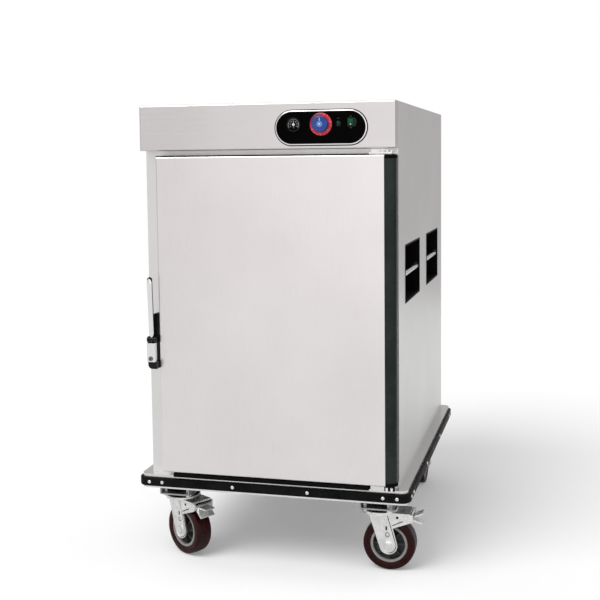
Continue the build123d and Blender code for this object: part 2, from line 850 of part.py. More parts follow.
def latch_base():
    """The black body on the door's edge: a foot under the yoke and two ears with the lever's pin."""
    rear = door_front + latch_base_depth
    low = latch_middle - latch_base_height / 2
    high = latch_middle + latch_base_height / 2
    root = door_front + latch_foot_inset
    back_plate = block((latch_outer_x, door_left), (door_front, rear), (low, high))
    corner = back_plate.edges().filter_by(Axis.Y).group_by(Axis.X)[0].sort_by(Axis.Z)[-1]
    back_plate = fillet(corner, 0.6 * latch_base_thickness)
    foot_top = latch_body_top - latch_body_height
    foot = block((latch_body_left + latch_foot_inset, door_left),
                 (latch_body_front + latch_foot_inset, root), (low, foot_top))
    corner = foot.edges().filter_by(Axis.Y).group_by(Axis.X)[0].sort_by(Axis.Z)[0]
    base = back_plate + fillet(corner, 0.6 * (foot_top - low))
    pivot = (lever_pivot_y, lever_pivot_z)
    level = (latch_body_top, lever_pivot_z + lever_hub_radius)
    for limits in ((latch_body_left, latch_body_left + latch_ear),
                   (latch_body_right - latch_ear, latch_body_right)):
        base += rod(lever_hub_radius, "x", limits, pivot)
        base += block(limits, (lever_pivot_y, root), level)
    across = (latch_body_left, latch_body_right)
    base += block(across, (lever_pivot_y + lever_hub_radius + lever_side_air, root), level)
    return base + rod(lever_pin_radius, "x", across, pivot)


def latch_body():
    """The bright yoke under the lever, bored for the lock."""
    reach = latch_body_height / 2
    body = block((latch_body_left, latch_body_right), (latch_body_front, door_front),
                 (latch_body_middle - reach, latch_body_middle + reach))
    body = fillet(body.edges().filter_by(Axis.Z).group_by(Axis.Y)[0], latch_body_rounding)
    return body - rod(lock_radius + running_gap, "y", (latch_body_front - skin, lock_rear()),
                      lock_place())


def lock_place():
    centre_x = (latch_body_left + latch_body_right) / 2
    return centre_x, latch_body_middle - lock_drop


def lock_rear():
    return latch_body_front + lock_depth


def lock_plug():
    """A key lock in the yoke, with a keyway across its face."""
    x, z = lock_place()
    face = latch_body_front - lock_proud
    plug = rod(lock_radius, "y", (face, lock_rear()), (x, z))
    slit = block((x - 0.8, x + 0.8), (face - skin, face + 2 * skin), (z - 3.5, z + 3.5))
    return plug - slit


def lever_outline(inset):
    """The lever's side view: a hub with an arm that leans out and thickens to its tip."""
    hub = Pos(lever_pivot_y, lever_pivot_z) * Circle(lever_hub_radius)
    tip_y = lever_pivot_y - lever_lean
    tip_z = lever_pivot_z + lever_length
    root_half = lever_root_thickness / 2
    tip_half = lever_tip_thickness / 2
    arm = make_face(Polyline(
        (lever_pivot_y - root_half + inset, lever_pivot_z),
        (tip_y - tip_half + inset, tip_z - tip_half),
        (tip_y, tip_z),
        (tip_y + tip_half, tip_z - tip_half),
        (lever_pivot_y + root_half, lever_pivot_z),
        close=True))
    return hub + arm


def lever_solid(inset, limits):
    outline = Plane.YZ * lever_outline(inset)
    return Pos(limits[0], 0, 0) * extrude(outline, amount=limits[1] - limits[0])


def lever_cover_zone():
    """The upper part of the lever's front, where the bright cover lies."""
    cover_foot = lever_pivot_z + 0.6 * lever_hub_radius
    return block((lever_left - skin, lever_left + lever_width + skin),
                 (lever_pivot_y - lever_length, lever_pivot_y + lever_length),
                 (cover_foot, lever_pivot_z + lever_length + skin))


def lever():
    """The black lever, thinned where its cover lies, with a bore for the pin."""
    limits = (lever_left, lever_left + lever_width)
    full = lever_solid(0, limits)
    core = lever_solid(lever_cover_thickness, limits)
    shaped = (full - lever_cover_zone()) + (core & lever_cover_zone())
    bore = rod(lever_pin_radius + running_gap, "x", (limits[0] - skin, limits[1] + skin),
               (lever_pivot_y, lever_pivot_z))
    return shaped - bore


def lever_cover():
    """A bright strip let into the lever's front."""
    limits = (lever_left, lever_left + lever_width)
    full = lever_solid(0, limits)
    core = lever_solid(lever_cover_thickness, limits)
    return (full - core) & lever_cover_zone()


def latch_strike():
    """A plate on the left pillar with a block that the latch's snap tongue presses on."""
    right = latch_outer_x - skin
    left = right - strike_width
    reach = strike_height / 2
    plate = block((left, right), (front - strike_thickness, front),
                  (latch_middle - reach, latch_middle + reach))
    nose = block((right - strike_width / 2, right),
                 (front - strike_thickness - strike_block_depth, front - strike_thickness),
                 (latch_middle - reach / 2, latch_middle + reach / 2))
    nose = fillet(nose.edges().filter_by(Axis.Z).group_by(Axis.Y)[0], strike_block_depth / 3)
    return plate + nose


# Deck, chassis and bumper

def rounded_ring_plate(inset, limits):
    """A plate of the bumper's plan outline, drawn in by an inset."""
    low, high = limits
    outline = RectangleRounded(2 * (bumper_x - inset), 2 * (bumper_y - inset), bumper_corner - inset)
    return Pos(0, 0, low) * extrude(outline, amount=high - low)


def channel_section():
    """Insets of the channel's lips, web front and web back from the bumper's outer face."""
    lip = strip_proud
    web_front = strip_depth
    return lip, web_front, web_front + channel_web


def deck():
    """The plate that the cabinet stands on, out to the bumper channel's edge."""
    return rounded_ring_plate(channel_section()[0], (channel_top, deck_top))


def bumper_channel():
    lip, web_front, web_back = channel_section()
    ring = rounded_ring_plate(lip, (channel_bottom, channel_top))
    ring -= rounded_ring_plate(web_back, (channel_bottom - skin, channel_top + skin))
    groove = (strip_bottom, strip_top)
    ring -= rounded_ring_plate(-skin, groove) - rounded_ring_plate(web_front, groove)
    return ring - screw_bars(screw_shank_radius + running_gap)


def bumper_strip():
    """The black rubber ring in the channel, standing a little proud of its lips."""
    web_front = channel_section()[1]
    ring = rounded_ring_plate(0, (strip_bottom, strip_top))
    outer_edges = ring.edges().group_by(Axis.Z)
    ring = fillet(outer_edges[0] + outer_edges[-1], strip_rounding)
    ring -= rounded_ring_plate(web_front, (strip_bottom - skin, strip_top + skin))
    return ring - screw_bars(screw_shank_radius + running_gap)


def screw_offsets(half_span, middle):
    corner = half_span - screw_corner_inset
    return [s * v for v in (corner, corner - screw_pair_pitch, middle) for s in (-1, 1)]


def screw_bars(radius):
    """Bars through the strip and the channel's web, one at each screw."""
    web_back = channel_section()[2]
    bars = []
    for s in (-1, 1):
        for x in screw_offsets(bumper_x, screw_front_middle):
            span = sorted((s * (bumper_y - web_back - skin), s * bumper_y))
            bars.append(rod(radius, "y", span, (x, strip_middle)))
        for y in screw_offsets(bumper_y, screw_side_middle):
            span = sorted((s * (bumper_x - web_back - skin), s * bumper_x))
            bars.append(rod(radius, "x", span, (y, strip_middle)))
    return as_group(bars)


def bumper_screws():
    """Round-headed screws along the bumper, in pairs near its corners."""
    screws = []
    for bar in screw_bars(screw_shank_radius).solids():
        centre = bar.center()
        on_front = abs(bar.bounding_box().size.Y) > abs(bar.bounding_box().size.X)
        side = math.copysign(1, centre.Y if on_front else centre.X)
        face = side * (bumper_y if on_front else bumper_x)
        span = sorted((face, face + side * screw_head_height))
        place = (centre.X, strip_middle) if on_front else (centre.Y, strip_middle)
        head = rod(screw_head_radius, "y" if on_front else "x", span, place)
        screws.append(bar + head)
    return as_group(screws)


def tube_rail(x, y):
    """A hollow rail under the deck, open at its ends along its longer side."""
    limits = (caster_height, caster_height + rail_height)
    outer = block(x, y, limits)
    inner_z = (limits[0] + rail_wall, limits[1] - rail_wall)
    if x[1] - x[0] > y[1] - y[0]:
        return outer - block((x[0] - skin, x[1] + skin), (y[0] + rail_wall, y[1] - rail_wall),
                             inner_z)
    return outer - block((x[0] + rail_wall, x[1] - rail_wall), (y[0] - skin, y[1] + skin),
                         inner_z)


def cross_rail_places():
    step = cross_rail_span / (cross_rail_count - 1)
    return [-cross_rail_span / 2 + i * step for i in range(cross_rail_count)]


def chassis_rails():
    """Two long rails over the casters and cross rails between them."""
    end = bumper_y - channel_section()[2] - rail_end_air
    inner = rail_centre_x - rail_width / 2
    outer = rail_centre_x + rail_width / 2
    side = tube_rail((inner, outer), (-end, end))
    for x, y in bolt_places():
        if x > 0:
            side -= rod(bolt_radius + running_gap, "z",
                        (caster_height - skin, caster_height + rail_wall + skin), (x, y))
    rails = [side, mirrored(side)]
    for y in cross_rail_places():
        rails.append(tube_rail((-inner, inner),
                               (y - cross_rail_width / 2, y + cross_rail_width / 2)))
    return as_group(rails)


# Casters

def caster_centres():
    return [(s * rail_centre_x, y) for y in (front_caster_y, rear_caster_y) for s in (-1, 1)]


def bolt_places():
    reach_x = bolt_spacing_x / 2
    reach_y = bolt_spacing_y / 2
    return [(x + sx * reach_x, y + sy * reach_y)
            for x, y in caster_centres() for sx in (-1, 1) for sy in (-1, 1)]


def top_plate(x, y):
    plate = block((x - plate_x / 2, x + plate_x / 2), (y - plate_y / 2, y + plate_y / 2),
                  (plate_bottom, caster_height))
    plate = fillet(plate.edges().filter_by(Axis.Z), 2 * plate_thickness)
    for bx, by in bolt_places():
        plate -= rod(bolt_radius + running_gap, "z", (plate_bottom - skin, caster_height + skin),
                     (bx, by))
    return plate


def swivel_top_plates():
    """The front casters' fixed plates, each with its race and kingpin."""
    plates = []
    for x, y in caster_centres()[:2]:
        plate = top_plate(x, y)
        plate += rod(race_radius, "z", (plate_bottom - race_height, plate_bottom), (x, y))
        nut_top = cup_bottom - race_air
        plate += rod(kingpin_radius, "z", (nut_top - kingpin_nut_height, plate_bottom), (x, y))
        plate += rod(kingpin_nut_radius, "z", (nut_top - kingpin_nut_height, nut_top), (x, y))
        plates.append(plate)
    return as_group(plates)


def caster_plate_bolts():
    """Bolts up through the caster plates into the rails, each with its nut."""
    bolts = []
    for place in bolt_places():
        bolt = rod(bolt_radius, "z",
                   (plate_bottom - bolt_head_height, caster_height + rail_wall + bolt_nut_height),
                   place)
        for low, height in ((plate_bottom - bolt_head_height, bolt_head_height),
                            (caster_height + rail_wall, bolt_nut_height)):
            head = extrude(RegularPolygon(bolt_head_radius, 6), amount=height)
            bolt += Pos(place[0], place[1], low) * head
        bolts.append(bolt)
    return as_group(bolts)


def side_plate(outline):
    """A plate of the fork's thickness from a side view, at the fork's outer cheek."""
    return Pos(0, leg_outside, 0) * extrude(Plane.XZ * outline, amount=fork_skin)


def fork_leg(axle_out, top_z, top_low, top_high):
    """One cheek of a fork: a broad plate from the top down to the axle boss."""
    boss = Pos(axle_out, wheel_radius) * Circle(fork_leg_width / 2)
    strip = Pos((top_low + top_high) / 2, top_z - fork_skin / 2) * Rectangle(top_high - top_low, fork_skin)
    return side_plate(make_hull(boss.edges() + strip.edges()))


def pedal_bracket(top_z):
    """The three-sided cheek beside the leg that carries the pedal's trunnions."""
    reach = pedal_pivot_out + pedal_boss_radius
    boss = Pos(pedal_pivot_out, pedal_pivot_height) * Circle(pedal_boss_radius)
    strip = Pos((caster_trail + reach) / 2, top_z - fork_skin / 2) * Rectangle(
        reach - caster_trail, fork_skin)
    foot = Pos(caster_trail + fork_skin, top_z - pedal_bracket_foot) * Circle(fork_skin)
    return side_plate(make_hull(boss.edges() + strip.edges() + foot.edges()))


def both_cheeks(plate):
    return plate + mirror(plate, about=Plane.XZ)


def axle_bore(axle_out):
    return rod(axle_radius, "y", (-2 * leg_outside, 2 * leg_outside), (axle_out, wheel_radius))


def at_caster(shape, x, y, heading):
    """Puts a caster piece, made with its trail along X, at its place and heading."""
    return Pos(x, y, 0) * Rot(0, 0, heading) * shape


def swivel_fork():
    """The turning fork: a race cup, two legs, a bridge and the pedal's bracket, in one piece."""
    cup = rod(cup_radius, "z", (cup_bottom, cup_top), (0, 0))
    cup = fillet(cup.edges().group_by(Axis.Z)[-1], cup_height / 3)
    top_z = cup_bottom + fork_skin / 2
    half = fork_leg_width / 2
    fork = cup + both_cheeks(fork_leg(caster_trail, top_z, -half, half + fork_skin))
    fork += both_cheeks(pedal_bracket(top_z))
    fork += block((0, pedal_pivot_out), (-leg_outside, leg_outside),
                  (cup_bottom, cup_bottom + fork_skin))
    fork -= axle_bore(caster_trail)
    fork -= rod(kingpin_radius + running_gap, "z", (cup_bottom - skin, cup_top + skin), (0, 0))
    return fork - rod(pedal_pin_radius + running_gap, "y", (-2 * leg_outside, 2 * leg_outside),
                      (pedal_pivot_out, pedal_pivot_height))


def rear_fork():
    """A rigid fork for a rear wheel, with its axle riveted through it."""
    half = fork_leg_width / 2
    legs = both_cheeks(fork_leg(0, plate_bottom, -half, half))
    return legs - axle_bore(0) + axle(0)


def axle(axle_out):
    """An axle bolt with a hexagonal head and nut outside the fork."""
    place = (axle_out, wheel_radius)
    bar = rod(axle_radius, "y", (-leg_outside - axle_head_height, leg_outside + axle_head_height),
              place)
    head = extrude(Plane.XZ * RegularPolygon(axle_head_radius, 6), amount=axle_head_height)
    bar += Pos(place[0], -leg_outside, place[1]) * head
    return bar + Pos(place[0], leg_outside + axle_head_height, place[1]) * head


def wheel_hub(axle_out):
    """A wheel centre with a rim, a web and a boss, bored to run on the axle."""
    place = (axle_out, wheel_radius)
    half = wheel_width / 2
    rim = rod(rim_radius, "y", (-half + 2, half - 2), place)
    rim -= rod(rim_radius - hub_rim, "y", (-half, half), place)
    rim += rod(rim_radius - hub_rim / 2, "y", (-hub_web / 2, hub_web / 2), place)
    boss_half = leg_inside - hub_side_air
    rim += rod(hub_boss_radius, "y", (-boss_half, boss_half), place)
    return rim - rod(axle_radius + running_gap, "y", (-wheel_width, wheel_width), place)


def wheel_tyre(axle_out):
    place = (axle_out, wheel_radius)
    half = wheel_width / 2
    tyre = rod(wheel_radius, "y", (-half, half), place)
    tyre = fillet(tyre.edges().filter_by(GeomType.CIRCLE), tyre_rounding)
    return tyre - rod(rim_radius, "y", (-wheel_width, wheel_width), place)


def brake_pedal(press):
    """A foot lever on trunnions, with a lobe to lock and one to release, turned by the press angle."""
    trunnion = rod(pedal_pin_radius, "y", (-leg_outside, leg_outside), (0, 0))
    barrel_half = leg_inside - hub_side_air
    pedal = trunnion + rod(pedal_barrel_radius, "y", (-barrel_half, barrel_half), (0, 0))
    half = pedal_plate_thickness / 2
    for tip_z in (-pedal_lobe_drop, pedal_lobe_rise):
        tip = Pos(pedal_reach - half, tip_z) * Circle(half)
        lobe = make_hull((Circle(half)).edges() + tip.edges())
        width = pedal_pad_width if tip_z < 0 else pedal_arm_width
        pedal += Pos(0, width / 2, 0) * extrude(Plane.XZ * lobe, amount=width)
    return Pos(pedal_pivot_out, 0, pedal_pivot_height) * Rot(0, press, 0) * pedal


def caster_nodes():
    """Every caster piece, by node name, at its place and heading."""
    nodes = {}
    rear_forks = []
    names = ["front_left", "front_right", "rear_left", "rear_right"]
    for name, (x, y) in zip(names, caster_centres()):
        swivels = name.startswith("front")
        out = caster_trail if swivels else 0
        heading = 90 if not swivels else left_heading if x < 0 else right_heading
        nodes["wheel_hub_" + name] = at_caster(wheel_hub(out), x, y, heading)
        nodes["tyre_" + name] = at_caster(wheel_tyre(out), x, y, heading)
        if swivels:
            press = pedal_press if x < 0 else 0
            nodes["swivel_fork_" + name] = at_caster(swivel_fork(), x, y, heading)
            nodes["axle_" + name] = at_caster(axle(out), x, y, heading)
            nodes["brake_pedal_" + name] = at_caster(brake_pedal(press), x, y, heading)
        else:
            rear_forks.append(at_caster(rear_fork(), x, y, heading) + top_plate(x, y))
    nodes["rear_forks"] = as_group(rear_forks)
    return nodes


right_panel = side_panel()
nodes = {
    "side_panels": as_group([right_panel, mirrored(right_panel)]),
    "top_panel": top_panel(),
    "rear_panel": rear_panel(),
    "front_frame": front_frame(),
    "liner": liner(),
    "insulation": insulation(),
    "header_cover": header_cover(),
    "control_bezel": control_bezel(),
    "control_fascia": control_fascia(),
    "thermometer_case": thermometer_case(),
    "thermometer_needle": thermometer_needle(),
    "thermostat_body": thermostat_body(),
    "thermostat_knob": thermostat_knob(),
    "pilot_lamp": pilot_lamp(),
    "rocker_housing": rocker_housing(),
    "rocker": rocker(),
    "grab_pockets": grab_pockets(),
    "grab_bars": grab_bars(),
    "tray_racks": tray_racks(),
    "water_pan": water_pan(),
    "air_baffle": air_baffle(),
    "fan_motor": fan_motor(),
    "fan_impeller": fan_impeller(),
    "heater_element": heater_element(),
    "power_inlet": power_inlet(),
    "door_skin": door_skin(),
    "door_liner": door_liner(),
    "door_insulation": door_insulation(),
    "door_gasket": door_gasket(),
    "hinge_stile": hinge_stile(),
    "hinge_bushes": hinge_bushes(),
    "hinge_brackets": hinge_brackets(),
    "latch_base": latch_base(),
    "latch_body": latch_body(),
    "latch_strike": latch_strike(),
    "lever": lever(),
    "lever_cover": lever_cover(),
    "lock_plug": lock_plug(),
    "deck": deck(),
    "chassis_rails": chassis_rails(),
    "bumper_channel": bumper_channel(),
    "bumper_strip": bumper_strip(),
    "bumper_screws": bumper_screws(),
    "swivel_top_plates": swivel_top_plates(),
    "caster_plate_bolts": caster_plate_bolts(),
    **caster_nodes(),
}

os.makedirs("parts", exist_ok=True)
for name, shape in nodes.items():
    export_step(shape, "parts/" + name + ".step")
print(len(nodes), "nodes")
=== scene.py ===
import bpy
import bmesh
import json
import math
import numpy as np
from mathutils import Matrix, Vector


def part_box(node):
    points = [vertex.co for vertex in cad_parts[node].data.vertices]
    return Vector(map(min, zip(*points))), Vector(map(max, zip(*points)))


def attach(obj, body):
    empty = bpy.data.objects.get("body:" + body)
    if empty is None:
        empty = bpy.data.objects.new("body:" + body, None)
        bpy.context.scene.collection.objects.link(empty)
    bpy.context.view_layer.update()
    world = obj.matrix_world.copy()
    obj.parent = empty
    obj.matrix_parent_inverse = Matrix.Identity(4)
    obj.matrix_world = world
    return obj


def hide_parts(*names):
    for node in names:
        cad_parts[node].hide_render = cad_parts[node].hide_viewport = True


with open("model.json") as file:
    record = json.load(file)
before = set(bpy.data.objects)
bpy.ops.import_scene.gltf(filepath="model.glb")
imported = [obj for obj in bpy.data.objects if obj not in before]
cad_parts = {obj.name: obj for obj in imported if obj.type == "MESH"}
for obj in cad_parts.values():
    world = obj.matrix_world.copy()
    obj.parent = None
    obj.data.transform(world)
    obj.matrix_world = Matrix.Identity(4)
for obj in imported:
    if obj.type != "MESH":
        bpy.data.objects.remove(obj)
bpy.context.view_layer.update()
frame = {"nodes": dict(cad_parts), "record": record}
nodes = frame["nodes"]
joints = {joint["name"]: joint for joint in frame["record"]["behaviour"]["joints"]}
mm = 0.001
print("frame loaded:", len(nodes), "nodes")


def boxOf(name):
    low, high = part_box(name)
    return np.array(low), np.array(high)


# every shell below is a stack of rings of points

def finishPiece(name, mesh, material, body, stands=(), sharpAngle=35):
    # cleans a mesh, shades it, and ties it to its body, slot and the nodes that it stands for
    tidy = bmesh.new()
    tidy.from_mesh(mesh)
    bmesh.ops.remove_doubles(tidy, verts=tidy.verts, dist=1e-7)
    bmesh.ops.dissolve_degenerate(tidy, edges=tidy.edges, dist=1e-7)
    bmesh.ops.recalc_face_normals(tidy, faces=tidy.faces)
    tidy.to_mesh(mesh)
    tidy.free()
    mesh.shade_smooth()
    mesh.set_sharp_from_angle(angle=math.radians(sharpAngle))
    mesh.materials.clear()
    mesh.materials.append(finishes[material])
    piece = bpy.data.objects.new(name, mesh)
    bpy.context.scene.collection.objects.link(piece)
    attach(piece, body)
    if stands:
        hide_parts(*stands)
    return piece


def buildPiece(name, shells, material, body, stands=(), sharpAngle=35):
    # joins shells into one mesh; each shell is (rings, capped, wrapped) with rings shaped (count, size, 3)
    points, faces, start = [], [], 0
    for rings, capped, wrapped in shells:
        rings = np.asarray(rings, float)
        count, size = rings.shape[:2]
        i = np.arange(count if wrapped else count - 1)[:, None]
        j = np.arange(size)[None, :]
        nextI = (i + 1) % count
        nextJ = (j + 1) % size
        quads = np.stack([i * size + j, i * size + nextJ, nextI * size + nextJ, nextI * size + j], -1)
        faces += (quads.reshape(-1, 4) + start).tolist()
        if capped:
            faces.append((np.arange(size)[::-1] + start).tolist())
            faces.append((np.arange(size) + start + (count - 1) * size).tolist())
        points.append(rings.reshape(-1, 3))
        start += count * size
    mesh = bpy.data.meshes.new(name)
    mesh.from_pydata(np.concatenate(points).tolist(), [], faces)
    return finishPiece(name, mesh, material, body, stands, sharpAngle)


def inMm(*pairs):
    return [(first * mm, second * mm) for first, second in pairs]


def axesAround(axis):
    # two unit vectors square to an axis
    axis = np.asarray(axis, float) / np.linalg.norm(axis)
    side = np.cross(axis, (0, 0, 1)) if abs(axis[2]) < 0.9 else np.array((1.0, 0, 0))
    side = side / np.linalg.norm(side)
    return axis, side, np.cross(axis, side)


def lathe(profile, centre, axis, count=64, wrapped=False):
    # a profile of (radius, distance along the axis) turned once round the axis
    axis, side, up = axesAround(axis)
    angle = np.linspace(0, 2 * math.pi, count, endpoint=False)
    circle = np.cos(angle)[:, None] * side + np.sin(angle)[:, None] * up
    profile = np.asarray(profile, float)
    rings = np.asarray(centre) + profile[:, 1, None, None] * axis + profile[:, 0, None, None] * circle
    return rings, False, wrapped


def roundCorners(corners, radius, steps=5, closed=True):
    # each corner becomes an arc that touches both its sides; radius is one value or one per corner
    corners = np.asarray(corners, float)
    radii = np.broadcast_to(radius, len(corners))
    out = []
    for i, corner in enumerate(corners):
        if not closed and i in (0, len(corners) - 1) or radii[i] <= 0:
            out.append(corner[None])
            continue
        back = corners[i - 1] - corner
        ahead = corners[(i + 1) % len(corners)] - corner
        back, ahead = back / np.linalg.norm(back), ahead / np.linalg.norm(ahead)
        half = math.acos(np.clip(back @ ahead, -1, 1)) / 2
        middle = (back + ahead) / np.linalg.norm(back + ahead)
        centre = corner + middle * radii[i] / math.sin(half)
        first = corner + back * radii[i] / math.tan(half) - centre
        last = corner + ahead * radii[i] / math.tan(half) - centre
        share = np.linspace(0, 1, steps + 1)[:, None]
        spread = math.pi - 2 * half
        arc = (np.sin((1 - share) * spread) * first + np.sin(share * spread) * last) / math.sin(spread)
        out.append(centre + arc)
    return np.concatenate(out)


def outwardNormals(outline):
    # mean of the two side normals at each point of a closed outline, pointing out of it
    ahead = np.roll(outline, -1, 0) - outline
    ahead = ahead / np.maximum(np.linalg.norm(ahead, axis=1, keepdims=True), 1e-12)
    side = ahead + np.roll(ahead, 1, 0)
    side = side / np.maximum(np.linalg.norm(side, axis=1, keepdims=True), 1e-12)
    area = np.sum(outline[:, 0] * np.roll(outline[:, 1], -1) - np.roll(outline[:, 0], -1) * outline[:, 1])
    return np.stack([side[:, 1], -side[:, 0]], -1) * np.sign(area)


def slab(outline, low, high, edge, toWorld, steps=4, roundLow=True, roundHigh=True):
    # a flat plate of an outline between two heights, its rims rounded by insetting quarter circles
    outline = np.asarray(outline, float)
    normal = outwardNormals(outline)
    quarter = np.linspace(0, math.pi / 2, steps + 1)
    insets, heights = [], []
    if roundLow:
        insets += list(edge * (1 - np.sin(quarter)))
        heights += list(low + edge * (1 - np.cos(quarter)))
    else:
        insets += [0]
        heights += [low]
    if roundHigh:
        insets += list(edge * (1 - np.cos(quarter)))
        heights += list(high - edge * (1 - np.sin(quarter)))
    else:
        insets += [0]
        heights += [high]
    rings = [toWorld(outline - normal * inset, height) for inset, height in zip(insets, heights)]
    return np.asarray(rings), True, False


def facingFront(points, depth):
    # outline (x, z) at a distance forward of y = 0, so that greater depth is nearer the viewer
    return np.column_stack([points[:, 0], np.full(len(points), -depth), points[:, 1]])


def stadiumOutline(centre, length, height, count=48):
    # two half circles joined by straight sides
    radius = height / 2
    angle = np.linspace(0, 2 * math.pi, count, endpoint=False) + math.pi / count
    shift = np.sign(np.cos(angle)) * (length / 2 - radius)
    return np.column_stack([centre[0] + shift + radius * np.cos(angle), centre[1] + radius * np.sin(angle)])


def circleOutline(centre, radius, count=32):
    angle = np.linspace(0, 2 * math.pi, count, endpoint=False)
    return np.column_stack([centre[0] + radius * np.cos(angle), centre[1] + radius * np.sin(angle)])


def frontAt(y):
    # lays an outline on an upright plane that faces forward, with heights measured out from it
    return lambda points, height: facingFront(points, height - y)


def inPlan(points, height):
    return np.column_stack([points, np.full(len(points), height)])


def rectangle(x, z):
    return np.array([(x[0], z[0]), (x[1], z[0]), (x[1], z[1]), (x[0], z[1])])


def newMaterial(name, colour, metallic=0.0, roughness=0.5, **sockets):
    material = bpy.data.materials.new(name)
    material.use_nodes = True
    shader = material.node_tree.nodes["Principled BSDF"]
    shader.inputs["Base Color"].default_value = (*colour, 1)
    shader.inputs["Metallic"].default_value = metallic
    shader.inputs["Roughness"].default_value = roughness
    for socket, value in sockets.items():
        shader.inputs[socket.replace("_", " ")].default_value = value
    return material


def addNode(material, kind, **values):
    node = material.node_tree.nodes.new(kind)
    for key, value in values.items():
        if key in node.inputs:
            node.inputs[key].default_value = value
        else:
            setattr(node, key, value)
    return node


def join(material, output, socket):
    material.node_tree.links.new(output, socket)


def objectNoise(material, scale, stretch=(1, 1, 1), detail=3.0, roughness=0.5):
    # noise over Object coordinates, finer along the axes with a greater stretch
    place = addNode(material, "ShaderNodeTexCoord")
    mapping = addNode(material, "ShaderNodeMapping", Scale=stretch)
    noise = addNode(material, "ShaderNodeTexNoise", Scale=scale, Detail=detail, Roughness=roughness)
    join(material, place.outputs["Object"], mapping.inputs["Vector"])
    join(material, mapping.outputs["Vector"], noise.inputs["Vector"])
    return noise.outputs["Fac"]


def ranged(material, value, low, high, toLow, toHigh):
    node = addNode(material, "ShaderNodeMapRange")
    for key, number in zip(("From Min", "From Max", "To Min", "To Max"), (low, high, toLow, toHigh)):
        node.inputs[key].default_value = number
    join(material, value, node.inputs["Value"])
    return node.outputs["Result"]


def blendColours(material, share, first, second):
    node = addNode(material, "ShaderNodeMix", data_type="RGBA")
    node.inputs["A"].default_value = (0, 0, 0, 1)
    colours = [socket for socket in node.inputs if socket.type == "RGBA"]
    for socket, colour in zip(colours, (first, second)):
        if hasattr(colour, "links"):
            join(material, colour, socket)
        else:
            socket.default_value = (*colour, 1)
    join(material, share, node.inputs["Factor"])
    return [socket for socket in node.outputs if socket.type == "RGBA"][0]


def shaderOf(material):
    return material.node_tree.nodes["Principled BSDF"]


def addBump(material, heights):
    # chains bump nodes; heights is a list of (value, strength, distance)
    shader = shaderOf(material)
    last = None
    for value, strength, distance in heights:
        bump = addNode(material, "ShaderNodeBump", Strength=strength, Distance=distance)
        join(material, value, bump.inputs["Height"])
        if last:
            join(material, last, bump.inputs["Normal"])
        last = bump.outputs["Normal"]
    join(material, last, shader.inputs["Normal"])


def brushedSteel(name, colour, roughness, grain, waviness=0.12):
    # fine stretched grain in roughness and bump, soft cloudy tone, and slow waves of rolled sheet
    material = newMaterial(name, colour, 1.0, roughness)
    shader = shaderOf(material)
    fine = objectNoise(material, 1.0, grain, 2.0, 0.6)
    cloud = objectNoise(material, 3.2, (1, 1, 1), 3.0, 0.55)
    sweep = objectNoise(material, 1.1, (1, 1, 0.7), 1.0, 0.4)
    darker = tuple(0.93 * part for part in colour)
    tone = blendColours(material, ranged(material, cloud, 0.35, 0.7, 0, 1), darker, colour)
    streaks = blendColours(material, ranged(material, fine, 0.3, 0.75, 0, 0.10), tone, darker)
    join(material, streaks, shader.inputs["Base Color"])
    join(material, ranged(material, fine, 0.25, 0.75, roughness - 0.05, roughness + 0.06),
         shader.inputs["Roughness"])
    addBump(material, [(fine, 0.06, 0.2 * mm), (sweep, waviness, 4 * mm)])
    return material


def mottled(name, colour, second, metallic, roughness, spread, scale, bumpStrength=0.1, bumpSize=0.2,
            **more):
    # two tones mixed by cloudy noise, with the roughness and a fine bump from noise as well
    material = newMaterial(name, colour, metallic, roughness, **more)
    shader = shaderOf(material)
    cloud = objectNoise(material, scale, (1, 1, 1), 4.0, 0.6)
    fine = objectNoise(material, scale * 14, (1, 1, 1), 2.0, 0.5)
    join(material, blendColours(material, ranged(material, cloud, 0.35, 0.65, 0, 1), colour, second),
         shader.inputs["Base Color"])
    join(material, ranged(material, cloud, 0.3, 0.7, roughness - spread, roughness + spread),
         shader.inputs["Roughness"])
    addBump(material, [(fine, bumpStrength, bumpSize * mm)])
    return material


